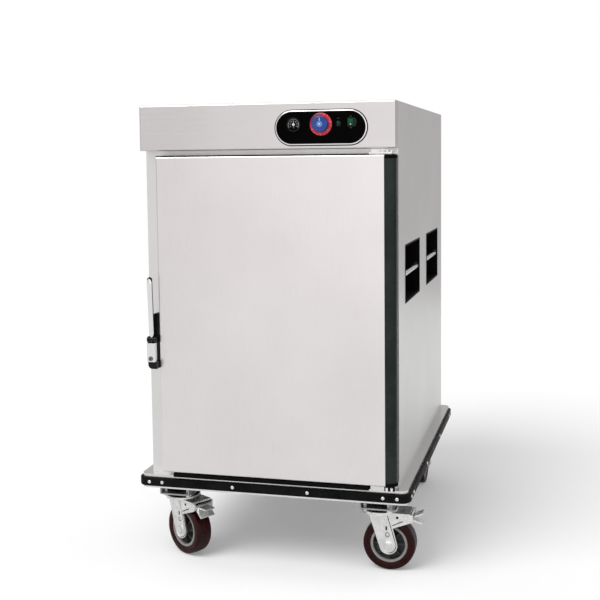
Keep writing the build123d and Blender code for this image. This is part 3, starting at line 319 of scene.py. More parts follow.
steels = {
    "doorSteel": ((0.80, 0.775, 0.772), 0.31, (900, 900, 9)),
    "sideSteel": ((0.76, 0.76, 0.75), 0.33, (900, 900, 9)),
    "headerSteel": ((0.68, 0.665, 0.66), 0.31, (9, 900, 900)),
    "deckSteel": ((0.72, 0.72, 0.71), 0.22, (9, 700, 700)),
    "linerSteel": ((0.66, 0.66, 0.66), 0.34, (12, 12, 700)),
}
paints = {
    "brightBar": ((0.78, 0.78, 0.77), (0.70, 0.70, 0.70), 1.0, 0.20, 0.05, 40),
    "chrome": ((0.84, 0.84, 0.85), (0.80, 0.80, 0.81), 1.0, 0.10, 0.04, 60, 0.04),
    "darkSteel": ((0.16, 0.16, 0.16), (0.22, 0.22, 0.22), 1.0, 0.28, 0.06, 90, 0.1),
    "zinc": ((0.80, 0.80, 0.79), (0.66, 0.66, 0.66), 0.95, 0.27, 0.09, 55, 0.16),
    "galvanised": ((0.30, 0.31, 0.32), (0.42, 0.43, 0.44), 0.85, 0.42, 0.08, 30, 0.15),
    "lipAluminium": ((0.80, 0.79, 0.78), (0.72, 0.71, 0.70), 1.0, 0.26, 0.05, 30),
    "bumperRubber": ((0.004, 0.004, 0.0042), (0.009, 0.009, 0.0092), 0.0, 0.42, 0.10, 22, 0.25),
    "blackPlastic": ((0.005, 0.005, 0.0055), (0.010, 0.010, 0.011), 0.0, 0.34, 0.07, 45, 0.2),
    "pocketPlastic": ((0.002, 0.002, 0.002), (0.005, 0.005, 0.005), 0.0, 0.5, 0.06, 45, 0.4),
    "shadowBlack": ((0.002, 0.002, 0.002), (0.004, 0.004, 0.004), 0.0, 0.7, 0.05, 30, 0.1),
    "fasciaBlack": ((0.0012, 0.0010, 0.0012), (0.002, 0.0016, 0.0018), 0.0, 0.12, 0.03, 18, 0.02),
    "stileDark": ((0.012, 0.018, 0.017), (0.022, 0.030, 0.028), 0.35, 0.26, 0.05, 16, 0.1),
    "tyreMaroon": ((0.016, 0.0006, 0.0008), (0.026, 0.0012, 0.0015), 0.0, 0.30, 0.06, 26, 0.15),
    "hubGrey": ((0.30, 0.29, 0.285), (0.22, 0.215, 0.21), 0.0, 0.38, 0.06, 40, 0.2),
    "hubDark": ((0.050, 0.051, 0.049), (0.080, 0.081, 0.078), 0.0, 0.45, 0.06, 40, 0.2),
    "knobBlue": ((0.005, 0.040, 0.24), (0.008, 0.060, 0.30), 0.0, 0.24, 0.04, 70, 0.08),
    "knobPale": ((0.12, 0.25, 0.62), (0.16, 0.30, 0.68), 0.0, 0.22, 0.04, 90, 0.05),
    "lampGreen": ((0.001, 0.055, 0.022), (0.001, 0.035, 0.015), 0.0, 0.12, 0.03, 120, 0.05),
    "rockerGreen": ((0.002, 0.100, 0.036), (0.002, 0.075, 0.026), 0.0, 0.20, 0.04, 90, 0.05),
    "whitePaint": ((0.80, 0.80, 0.79), (0.72, 0.72, 0.71), 0.0, 0.4, 0.05, 90, 0.05),
    "greyPaint": ((0.10, 0.10, 0.10), (0.14, 0.14, 0.14), 0.0, 0.4, 0.05, 90, 0.05),
    "nylonWhite": ((0.72, 0.71, 0.68), (0.66, 0.65, 0.62), 0.0, 0.4, 0.05, 60, 0.1),
    "foamYellow": ((0.72, 0.58, 0.30), (0.62, 0.48, 0.24), 0.0, 0.85, 0.05, 60, 0.6),
    "heaterDark": ((0.16, 0.13, 0.11), (0.24, 0.20, 0.17), 0.8, 0.45, 0.08, 60, 0.3),
}
# how strongly the dark finishes mirror, far below the usual half
mirrorLevels = {"bumperRubber": 0.04, "blackPlastic": 0.16, "pocketPlastic": 0.04, "shadowBlack": 0.05,
                "fasciaBlack": 0.015, "stileDark": 0.16, "tyreMaroon": 0.16, "hubDark": 0.16,
                "lampGreen": 0.16, "rockerGreen": 0.16}
finishes = {name: brushedSteel(name, *values) for name, values in steels.items()}
for name, values in paints.items():
    extra = {"Specular_IOR_Level": mirrorLevels[name]} if name in mirrorLevels else {}
    finishes[name] = mottled(name, *values, **extra)


def makeRingRed():
    # bright red from the top clockwise to the lower left, and a darker magenta over the rest
    ring = {"bright": (0.66, 0.012, 0.028), "dark": (0.20, 0.004, 0.040)}
    low, high = boxOf("thermostat_knob")
    middle = (low + high) / 2
    material = newMaterial("ringRed", ring["bright"], 0.0, 0.28)
    place = addNode(material, "ShaderNodeTexCoord")
    centred = addNode(material, "ShaderNodeMapping", Location=tuple(-middle))
    join(material, place.outputs["Object"], centred.inputs["Vector"])
    parts = addNode(material, "ShaderNodeSeparateXYZ")
    join(material, centred.outputs["Vector"], parts.inputs["Vector"])
    slope = addNode(material, "ShaderNodeMath", operation="SUBTRACT")
    join(material, parts.outputs["Z"], slope.inputs[0])
    join(material, parts.outputs["X"], slope.inputs[1])
    share = ranged(material, slope.outputs[0], 14 * mm, 30 * mm, 0, 1)
    cloud = objectNoise(material, 150, (1, 1, 1), 2.0, 0.5)
    mixed = blendColours(material, share, ring["bright"], ring["dark"])
    join(material, mixed, shaderOf(material).inputs["Base Color"])
    join(material, ranged(material, cloud, 0.3, 0.7, 0.24, 0.34), shaderOf(material).inputs["Roughness"])
    addBump(material, [(cloud, 0.08, 0.1 * mm)])
    return material


finishes["ringRed"] = makeRingRed()
print("materials:", len(finishes))

nodeFinish = {
    "side_panels": "sideSteel", "top_panel": "sideSteel", "rear_panel": "sideSteel",
    "front_frame": "sideSteel", "liner": "linerSteel", "insulation": "foamYellow",
    "header_cover": "headerSteel", "control_bezel": "chrome", "control_fascia": "fasciaBlack",
    "thermometer_case": "blackPlastic", "thermometer_needle": "whitePaint",
    "thermostat_body": "blackPlastic", "thermostat_knob": "knobBlue", "pilot_lamp": "lampGreen",
    "rocker_housing": "blackPlastic", "rocker": "rockerGreen", "grab_pockets": "pocketPlastic",
    "grab_bars": "brightBar", "tray_racks": "linerSteel", "water_pan": "linerSteel",
    "air_baffle": "linerSteel", "fan_motor": "blackPlastic", "fan_impeller": "lipAluminium",
    "heater_element": "heaterDark", "power_inlet": "blackPlastic", "door_skin": "doorSteel",
    "door_liner": "linerSteel", "door_insulation": "foamYellow", "door_gasket": "bumperRubber",
    "hinge_stile": "stileDark", "hinge_bushes": "nylonWhite", "hinge_brackets": "brightBar",
    "latch_base": "blackPlastic", "latch_body": "chrome", "latch_strike": "brightBar",
    "lever": "blackPlastic", "lever_cover": "chrome", "lock_plug": "darkSteel", "deck": "deckSteel",
    "chassis_rails": "galvanised", "bumper_channel": "lipAluminium", "bumper_strip": "bumperRubber",
    "bumper_screws": "brightBar", "swivel_top_plates": "galvanised", "caster_plate_bolts": "zinc",
    "rear_forks": "zinc",
}
for name, piece in nodes.items():
    if name.startswith("tyre"):
        finish = "tyreMaroon"
    elif name.startswith("wheel_hub"):
        finish = "hubGrey"
    elif name.startswith(("swivel_fork", "axle", "brake_pedal")):
        finish = "zinc"
    else:
        finish = nodeFinish[name]
    piece.data.materials.clear()
    piece.data.materials.append(finishes[finish])


def stadiumRing(centre, length, height, profile, backY):
    # a closed profile of (outset, rise) pairs carried round a stadium, facing forward
    rings = [facingFront(stadiumOutline(centre, length + 2 * out, height + 2 * out, 96), rise - backY)
             for out, rise in profile]
    return np.asarray(rings), False, True


def makeBezel():
    # a half-round bright rim, with painted shade round it: a thin black ring just outside it and a black
    # lining along its inner edge stand for the shade in the gaps
    bezel = {"rise": 4.0 * mm, "sealOut": 2.2 * mm, "sealRise": 0.9 * mm, "steps": 22}
    low, high = boxOf("control_bezel")
    inLow, inHigh = boxOf("control_fascia")
    centre = ((low[0] + high[0]) / 2, (low[2] + high[2]) / 2)
    length, height = inHigh[0] - inLow[0], inHigh[2] - inLow[2]
    width = (high[0] - low[0] - length) / 2 - 0.2 * mm
    turn = np.linspace(0, math.pi, bezel["steps"])
    out = width / 2 * (1 - np.cos(turn)) + 0.2 * mm
    rise = bezel["rise"] * np.sin(turn) ** 0.7
    ring = stadiumRing(centre, length, height, list(zip(out, rise)), high[1])
    buildPiece("controlRim", [ring], "chrome", "cabinet", ["control_bezel"])
    # painted shade: black rings where the gaps outside and inside the rim are shaded
    first, last = width - 0.4 * mm, width + bezel["sealOut"]
    profile = [(first, 0), (first, bezel["sealRise"]), (last - 0.4 * mm, bezel["sealRise"]),
               (last, 0.3 * mm), (last, 0)]
    paintedShadow = stadiumRing(centre, length, height, profile, high[1])
    inner = inMm((-0.2, 0), (-0.2, 3.9), (2.3, 4.3), (2.3, 0))
    innerShadow = stadiumRing(centre, length, height, inner, high[1])
    buildPiece("controlRimSeal", [paintedShadow, innerShadow], "shadowBlack", "cabinet")


def radialMarks(centre, frontY, radii, width, rise, angles):
    # small bars that point at a centre; an angle of 0 is up and grows clockwise as seen from the front
    shells = []
    for angle in np.radians(angles):
        along = np.array((math.sin(angle), math.cos(angle)))
        across = np.array((along[1], -along[0]))
        inner, outer = centre + along * radii[0], centre + along * radii[1]
        half = across * width / 2
        corners = [inner - half, inner + half, outer + half, outer - half]
        shells.append(slab(np.array(corners), 0, rise, 0.2 * width,
                           frontAt(frontY), 1, False, True))
    return shells


def wordMesh(words, size, centre, frontY, rise):
    # flat letters turned upright to face forward, centred on a place
    curve = bpy.data.curves.new("letters", "FONT")
    curve.body = words
    curve.size = size
    curve.align_x = "CENTER"
    curve.align_y = "CENTER"
    curve.extrude = rise / 2
    curve.resolution_u = 3
    holder = bpy.data.objects.new("letters", curve)
    bpy.context.scene.collection.objects.link(holder)
    bpy.context.view_layer.update()
    mesh = bpy.data.meshes.new_from_object(holder.evaluated_get(bpy.context.evaluated_depsgraph_get()))
    bpy.data.objects.remove(holder)
    count = len(mesh.vertices)
    flat = np.empty(count * 3)
    mesh.vertices.foreach_get("co", flat)
    flat = flat.reshape(-1, 3)
    upright = np.column_stack([flat[:, 0] + centre[0], -flat[:, 2] + frontY, flat[:, 1] + centre[1]])
    mesh.vertices.foreach_set("co", upright.ravel())
    return mesh


def joinMeshes(name, meshes):
    # one mesh out of several, by adding each to the same edit mesh
    whole = bmesh.new()
    for mesh in meshes:
        whole.from_mesh(mesh)
    out = bpy.data.meshes.new(name)
    whole.to_mesh(out)
    whole.free()
    return out


def makeThermometer():
    # a black dial with a scale of bars and numbers, a thin ring, and a pointer with a bright hub
    gauge = {"start": -120, "end": 120, "bars": 25, "ring": 13.2 * mm, "bar": 2.4 * mm, "size": 3.0 * mm,
             "numbers": (0, 20, 40, 60, 80, 100, 120), "hub": 3.4 * mm, "reach": 9.5 * mm}
    low, high = boxOf("thermometer_case")
    centre = np.array(((low[0] + high[0]) / 2, (low[2] + high[2]) / 2))
    dialY = low[1] + 1.6 * mm
    face = slab(circleOutline(centre, 14.3 * mm, 64), 0, 0.12 * mm, 0.05 * mm,
                frontAt(dialY), 1)
    buildPiece("gaugeFace", [face], "fasciaBlack", "cabinet")
    angles = np.linspace(gauge["start"], gauge["end"], gauge["bars"])
    markY = dialY - 0.12 * mm
    shells = radialMarks(centre, markY, (gauge["ring"] - gauge["bar"], gauge["ring"]), 0.55 * mm, 0.08 * mm,
                         angles[::4])
    shells += radialMarks(centre, markY, (gauge["ring"] - 0.55 * gauge["bar"], gauge["ring"]), 0.32 * mm,
                          0.08 * mm, angles)
    sweep = np.radians(np.linspace(gauge["start"], gauge["end"], 80))
    inner = np.column_stack([np.sin(sweep), np.cos(sweep)])
    band = np.concatenate([centre + inner * (gauge["ring"] + 0.35 * mm),
                           (centre + inner * gauge["ring"])[::-1]])
    shells.append(slab(band, 0, 0.08 * mm, 0.02 * mm, frontAt(markY), 1, False, True))
    buildPiece("gaugeScale", shells, "whitePaint", "cabinet")
    words = []
    for number, angle in zip(gauge["numbers"], np.radians(np.linspace(gauge["start"], gauge["end"], 7))):
        spot = centre + np.array((math.sin(angle), math.cos(angle))) * 8.6 * mm
        words.append(wordMesh(str(number), gauge["size"], spot, markY, 0.08 * mm))
    words.append(wordMesh("\u00b0C", gauge["size"], centre - np.array((0, 7.6 * mm)), markY, 0.08 * mm))
    finishPiece("gaugeNumbers", joinMeshes("gaugeNumbers", words), "whitePaint", "cabinet")
    pointerY = boxOf("thermometer_needle")[1][1]
    t = np.linspace(0, 1, 9)
    half = (0.75 - 0.55 * t) * mm
    reach = -4.0 * mm + (gauge["reach"] + 4.0 * mm) * t
    outline = np.concatenate([np.column_stack([half, reach]),
                              np.column_stack([-half, reach])[::-1]]) + centre
    arm = slab(outline, 0, 0.5 * mm, 0.15 * mm, frontAt(pointerY), 2)
    dome = lathe([(0.001 * mm, 1.3 * mm), (1.4 * mm, 1.2 * mm), (2.6 * mm, 0.8 * mm),
                  (gauge["hub"], 0.2 * mm),
                  (gauge["hub"], -0.05 * mm), (0.001 * mm, -0.05 * mm)],
                 (centre[0], pointerY, centre[1]), (0, -1, 0), 40)
    buildPiece("gaugePointer", [arm, dome], "whitePaint", "needle", ["thermometer_needle"])


def makeKnob():
    # a red skirt with a scale, a blue ribbed cap with a dished face, a pale centre and a pointer line
    knob = {"ribs": 28, "ribDepth": 0.45 * mm, "round": 1.8 * mm, "dish": 0.9 * mm, "centre": 7.0 * mm,
            "numbers": ("30", "50", "70", "90", "110"), "size": 3.6 * mm}
    low, high = boxOf("thermostat_knob")
    centre = np.array(((low[0] + high[0]) / 2, high[1], (low[2] + high[2]) / 2))
    outer = (high[0] - low[0]) / 2
    cap = outer * 20.0 / 27.5
    length = high[1] - low[1]
    thick = 3.0 * mm
    skirt = lathe([(cap - 1.0 * mm, 0.1 * mm), (outer - 0.4 * mm, 0.1 * mm), (outer, 0.6 * mm),
                   (outer - 0.3 * mm, 1.6 * mm),
                   (outer - 1.4 * mm, 2.3 * mm), (cap + 1.0 * mm, thick), (cap - 1.0 * mm, thick)],
                  centre, (0, -1, 0), 96, True)
    buildPiece("knobSkirt", [skirt], "ringRed", "knob", ["thermostat_knob"])
    angle = np.linspace(0, 2 * math.pi, 12 * knob["ribs"], endpoint=False)
    wave = np.cos(knob["ribs"] * angle)
    rows = [(0.0, 0.2 * mm, 0), (cap - 0.2 * mm, 0.2 * mm, 0), (cap, 1.0 * mm, 0.3), (cap, 4.5 * mm, 1.0),
            (cap - 0.3 * mm, length * 0.7, 1.0), (cap - 0.7 * mm, length - knob["round"], 0.8),
            (cap - 1.2 * mm, length - 0.5 * knob["round"], 0.5),
            (cap - 2.2 * mm, length - 0.1 * knob["round"], 0.1),
            (cap - 3.2 * mm, length, 0), (cap - 5.0 * mm, length - 0.5 * knob["dish"], 0),
            (cap * 0.5, length - knob["dish"], 0), (0.0, length - knob["dish"], 0)]
    rings = []
    for radius, rise, share in rows:
        r = np.maximum(radius - knob["ribDepth"] * share * (0.5 + 0.5 * wave), 0.01 * mm)
        rings.append(np.column_stack([centre[0] + r * np.sin(angle), np.full(len(angle), centre[1] - rise),
                                      centre[2] + r * np.cos(angle)]))
    buildPiece("knobCap", [(np.asarray(rings), True, False)], "knobBlue", "knob")
    faceY = centre[1] - length + knob["dish"]
    flat = centre[[0, 2]]
    disc = lathe([(0.01 * mm, 0.35 * mm), (knob["centre"] * 0.6, 0.5 * mm),
                  (knob["centre"] - 0.5 * mm, 0.45 * mm),
                  (knob["centre"], 0.0), (0.01 * mm, 0.0)], (centre[0], faceY, centre[2]), (0, -1, 0), 48)
    buildPiece("knobCentre", [disc], "knobPale", "knob")
    line = radialMarks(flat, faceY, (knob["centre"] + 0.8 * mm, cap - 4.2 * mm), 1.5 * mm, 0.5 * mm, [0])
    hub = slab(circleOutline(flat, 1.8 * mm, 24), 0.45 * mm, 0.75 * mm, 0.1 * mm,
               frontAt(faceY), 2)
    marks = radialMarks(flat, centre[1] - 2.55 * mm, (cap + 4.4 * mm, cap + 6.4 * mm), 0.7 * mm, 0.25 * mm,
                        np.linspace(20, 240, 12))
    buildPiece("knobMarks", line + [hub] + marks, "whitePaint", "knob")
    words = []
    for number, turn in zip(knob["numbers"], np.radians(np.linspace(20, 240, 5))):
        spot = flat + np.array((math.sin(turn), math.cos(turn))) * (cap + 2.7 * mm)
        words.append(wordMesh(number, knob["size"] * 0.8, spot, centre[1] - 3.0 * mm, 0.5 * mm))
    finishPiece("knobNumbers", joinMeshes("knobNumbers", words), "whitePaint", "knob")


def makeLampAndSwitchMarks():
    # a ribbed lens in a dark collar, bracket lines beside the switch, and its two words
    lamp = {"collar": 1.6 * mm, "rise": 3.4 * mm, "size": 3.6 * mm}
    low, high = boxOf("pilot_lamp")
    fascia = boxOf("control_fascia")[0][1]
    centre = np.array(((low[0] + high[0]) / 2, fascia, (low[2] + high[2]) / 2))
    radius = (high[0] - low[0]) / 2
    turn = np.linspace(0, math.pi / 2, 10)
    out = radius * np.sin(turn) * (1 + 0.03 * np.cos(turn * 16))
    rise = 0.5 * mm + (lamp["rise"] - 0.5 * mm) * np.cos(turn)
    dome = [(0.01 * mm, lamp["rise"])] + list(zip(out, rise))[1:]
    lens = lathe(dome + [(radius, 0.02 * mm), (0.01 * mm, 0.02 * mm)], centre, (0, -1, 0), 40)
    buildPiece("lampLens", [lens], "lampGreen", "cabinet", ["pilot_lamp"])
    out = radius + lamp["collar"]
    collar = lathe([(radius, 0.0), (radius, 0.9 * mm), (radius + 0.5 * mm, 1.2 * mm),
                    (out - 0.3 * mm, 0.8 * mm), (out, 0.0)],
                   centre, (0, -1, 0), 48, True)
    buildPiece("lampCollar", [collar], "blackPlastic", "cabinet")
    low, high = boxOf("rocker_housing")
    across, up = (low[0] + high[0]) / 2, (low[2] + high[2]) / 2
    half = (high[2] - low[2]) / 2 + 1.5 * mm
    shells = []
    for x, z in (((9.5, 10.1), (-9.5, 9.5)), ((8.2, 10.1), (9.0, 9.6)), ((8.2, 10.1), (-9.6, -9.0)),
                 ((12.2, 12.7), (-7.0, 7.0)), ((-34.0, -26.0), (-9.3, -8.9)), ((-34.0, -26.0), (8.9, 9.3))):
        shells.append(slab(rectangle(across + np.array(x) * mm, up + np.array(z) * mm), 0, 0.06 * mm,
                           0.02 * mm,
                           frontAt(fascia), 1, False, True))
    buildPiece("fasciaLines", shells, "greyPaint", "cabinet")
    words = [wordMesh("ON", lamp["size"] * 0.8, (across, up + half + 1.4 * mm), fascia, 0.06 * mm),
             wordMesh("OFF", lamp["size"] * 0.8, (across, up - half - 1.4 * mm), fascia, 0.06 * mm)]
    finishPiece("fasciaWords", joinMeshes("fasciaWords", words), "greyPaint", "cabinet")
    low, high = boxOf("rocker")
    middle = ((low[0] + high[0]) / 2, (low[2] + high[2]) / 2)
    spot = slab(circleOutline((middle[0], low[2] + 3.4 * mm), 1.5 * mm, 24), -0.4 * mm, 0.25 * mm, 0.15 * mm,
                frontAt(low[1] + 0.1 * mm), 2)
    buildPiece("rockerSpot", [spot], "whitePaint", "switch_rocker")


makeBezel()
makeThermometer()
makeKnob()
makeLampAndSwitchMarks()
print("control panel made")


def roundedBox(halfX, halfY, radius, steps=10):
    # plan outline of a rectangle with round corners, centred on the origin
    turn = np.linspace(0, math.pi / 2, steps)
    corner = np.column_stack([np.cos(turn), np.sin(turn)]) * radius
    parts = []
    for k, (signX, signY) in enumerate(((1, 1), (-1, 1), (-1, -1), (1, -1))):
        spin = k * math.pi / 2
        turned = np.column_stack([corner[:, 0] * math.cos(spin) - corner[:, 1] * math.sin(spin),
                                  corner[:, 0] * math.sin(spin) + corner[:, 1] * math.cos(spin)])
        parts.append(turned + (signX * (halfX - radius), signY * (halfY - radius)))
    return np.concatenate(parts)


def makeBumper():
    # a soft rubber band with two fine grooves, and round-headed screws with crossed slots
    band = {"depth": 19.5 * mm, "round": 3.6 * mm, "corner": 25 * mm, "groove": 0.7 * mm,
            "grooveIn": 5.0 * mm}
    low, high = boxOf("bumper_strip")
    halfX, halfY = (high[0] - low[0]) / 2, (high[1] - low[1]) / 2
    turn = np.linspace(0, math.pi / 2, 6)
    r, g = band["round"], band["groove"]
    rise = high[2] - low[2]
    lower = [(r * (1 - math.sin(a)), r * (1 - math.cos(a))) for a in turn]
    step = band["grooveIn"]
    lower += [(0, step), (g, step + g), (0, step + 2 * g)]
    profile = [(band["depth"], 0)] + lower + [(inset, rise - up) for inset,
                                              up in lower[::-1]] + [(band["depth"], rise)]
    rings = []
    for inset, up in profile:
        plan = roundedBox(halfX - inset, halfY - inset, band["corner"] - inset)
        rings.append(np.column_stack([plan, np.full(len(plan), low[2] + up)]))
    buildPiece("bumperBand", [(np.asarray(rings), False, True)], "bumperRubber", "cabinet",
               ["bumper_strip"])
    screw = {"radius": 4.6 * mm, "rise": 2.0 * mm, "slot": 0.55 * mm, "slotReach": 2.3 * mm,
             "slotDepth": 0.9 * mm}
    points = np.array([v.co for v in nodes["bumper_screws"].data.vertices])
    middle = (low[2] + high[2]) / 2
    heads = []
    for axis, side in ((1, -1), (1, 1), (0, -1), (0, 1)):
        edge = side * (halfY if axis else halfX)
        outside = points[points[:, axis] * side > edge * side + 0.5 * mm]
        along = np.sort(outside[:, 1 - axis])
        groups = np.split(along, np.where(np.diff(along) > 8 * mm)[0] + 1)
        for group in groups:
            centre = (group.min() + group.max()) / 2
            heads.append((axis, side, edge, centre))
    reach = np.linspace(0, 1, 15)
    spin = np.linspace(0, 2 * math.pi, 48, endpoint=False)
    rr = reach[:, None] * screw["radius"]
    flatX, flatZ = rr * np.cos(spin), rr * np.sin(spin)
    dome = screw["rise"] * np.sqrt(np.maximum(1 - (rr / screw["radius"]) ** 2.4, 0)) + 0 * flatX
    inSlot = (((np.abs(flatX) < screw["slot"]) & (np.abs(flatZ) < screw["slotReach"])) |
              ((np.abs(flatZ) < screw["slot"]) & (np.abs(flatX) < screw["slotReach"])))
    dome = np.where(inSlot, dome - screw["slotDepth"], dome)
    shells = []
    for axis, side, edge, centre in heads:
        face = edge + side * dome
        plane = centre + flatX
        rings = np.stack([plane, face, middle + flatZ] if axis else [face, plane, middle + flatZ], -1)
        shells.append((rings, False, False))
    buildPiece("bumperScrewHeads", shells, "brightBar", "cabinet", ["bumper_screws"], 50)
    print("bumper made, with", len(heads), "screws")


makeBumper()


def casterFrame(wheelJoint, turnJoint=None):
    # a place and three directions: along the trail, across towards the axle's positive end, and up
    wheel = joints[wheelJoint]
    across = np.array(wheel["axis"], float)
    along = np.array((across[1], -across[0], 0.0))
    place = np.array(joints[turnJoint]["pos_m"] if turnJoint else wheel["pos_m"], float)
    trail = float((np.array(wheel["pos_m"]) - place) @ along)
    return place * (1, 1, 0), along, across, trail, wheel["pos_m"][2]


def onCaster(place, along, across):
    # outline points (along, up) at a distance across become points in space
    up = np.array((0, 0, 1.0))
    return lambda points, height: place + points[:, :1] * along + height * across + points[:, 1:] * up


def makeWheel(name, joint, bodyName):
    # tyre: a crowned tread between rounded shoulders, with a fine parting ridge and a step in each wall
    wheel = {"shoulder": 6.0 * mm, "crown": 0.9 * mm, "ridge": 0.35 * mm, "ribs": 8, "ribWidth": 3.0 * mm,
             "rim": 7.0 * mm, "boss": 14.0 * mm}
    tyreLow, tyreHigh = boxOf("tyre_" + name)
    hubLow, hubHigh = boxOf("wheel_hub_" + name)
    outer = (tyreHigh[2] - tyreLow[2]) / 2
    rim = (hubHigh[2] - hubLow[2]) / 2
    along, across = casterFrame(joint)[1:3]
    centre = np.array(joints[joint]["pos_m"])
    half = 23.0 * mm
    s = wheel["shoulder"]
    turn = np.linspace(0, math.pi / 2, 7)
    side = [(rim, half - 2.5 * mm), (rim + 0.8 * mm, half - 1.2 * mm), (rim + 2.2 * mm, half - 0.6 * mm),
            (outer - 11.5 * mm, half - 0.1 * mm), (outer - 11.0 * mm, half - 0.6 * mm),
            (outer - 10.4 * mm, half - 0.6 * mm),
            (outer - 9.9 * mm, half)]
    side += [(outer - wheel["crown"] - s + s * math.sin(a), half - s + s * math.cos(a)) for a in turn]
    side += [(outer - wheel["crown"] * 0.35, half * 0.45), (outer - wheel["ridge"], 1.1 * mm),
             (outer, 0.5 * mm)]
    profile = side + [(r, -d) for r, d in side[::-1]]
    tyre = lathe(profile, centre, across, 96, True)
    buildPiece("tread_" + name, [tyre], "tyreMaroon", bodyName, ["tyre_" + name], 30)
    inner = rim - wheel["rim"]
    ringFace = [(inner, half - 5.0 * mm), (inner + 0.6 * mm, half - 3.2 * mm),
                (inner + 2.2 * mm, half - 2.6 * mm),
                (rim - 1.6 * mm, half - 2.4 * mm), (rim - 0.3 * mm, half - 3.0 * mm)]
    ring = lathe(ringFace + [(r, -d) for r, d in ringFace[::-1]], centre, across, 80, True)
    buildPiece("rimRing_" + name, [ring], "hubGrey", bodyName, ["wheel_hub_" + name])
    web = 4.0 * mm
    bossHalf = 25.3 * mm
    boss = wheel["boss"]
    core = [(6.2 * mm, bossHalf), (boss - 2.0 * mm, bossHalf), (boss, bossHalf - 1.6 * mm),
            (boss + 1.2 * mm, 10 * mm),
            (boss + 3.0 * mm, web + 1.4 * mm), (boss + 6.0 * mm, web), (inner - 4.0 * mm, web),
            (inner - 1.0 * mm, web + 1.5 * mm),
            (inner + 0.3 * mm, half - 6.0 * mm)]
    shells = [lathe(core + [(r, -d) for r, d in core[::-1]], centre, across, 80, True)]
    first, last = boss - 1.0 * mm, inner - 0.5 * mm
    for k in range(wheel["ribs"]):
        spin = 2 * math.pi * k / wheel["ribs"]
        out = along * math.cos(spin) + np.array((0, 0, math.sin(spin)))
        flank = -along * math.sin(spin) + np.array((0, 0, math.cos(spin)))
        w = wheel["ribWidth"] / 2
        tall = np.array([(first, 17.0 * mm), (last, 13.0 * mm), (last, -13.0 * mm), (first, -17.0 * mm)])
        rings = []
        for flankShift, shrink in ((-w, 0.5 * mm), (-w + 0.5 * mm, 0), (w - 0.5 * mm, 0), (w, 0.5 * mm)):
            size = tall * 1.0
            size[:, 1] -= np.sign(size[:, 1]) * shrink
            rings.append(centre + size[:, :1] * out + size[:, 1:] * across + flankShift * flank)
        shells.append((np.asarray(rings), True, False))
    buildPiece("hubCore_" + name, shells, "hubDark", bodyName)


for name in ("front_left", "front_right", "rear_left", "rear_right"):
    makeWheel(name, "wheel_roll_" + name, "wheel_" + name)
print("wheels made")


def ribbon(points, width):
    # a flat band of even width along a line of points
    points = np.asarray(points, float)
    step = np.gradient(points, axis=0)
    step = step / np.linalg.norm(step, axis=1, keepdims=True)
    side = np.column_stack([-step[:, 1], step[:, 0]]) * width / 2
    return np.concatenate([points + side, (points - side)[::-1]])


def hullSide(topPoint, centre, radius, side, steps=14):
    # the straight edge from a top corner to a round tip, then round the tip's lower half
    centre, topPoint = np.asarray(centre, float), np.asarray(topPoint, float)
    toTop = topPoint - centre
    lean = math.atan2(toTop[1], toTop[0])
    open_ = math.acos(radius / np.linalg.norm(toTop))
    start = lean - side * open_
    stop = -math.pi / 2
    if side > 0 and start < stop:
        start += 2 * math.pi
    if side < 0:
        stop = -math.pi / 2 + (2 * math.pi if start > math.pi / 2 else 0)
    turn = np.linspace(start, stop, steps)
    arc = centre + radius * np.column_stack([np.cos(turn), np.sin(turn)])
    return np.concatenate([topPoint[None], arc])


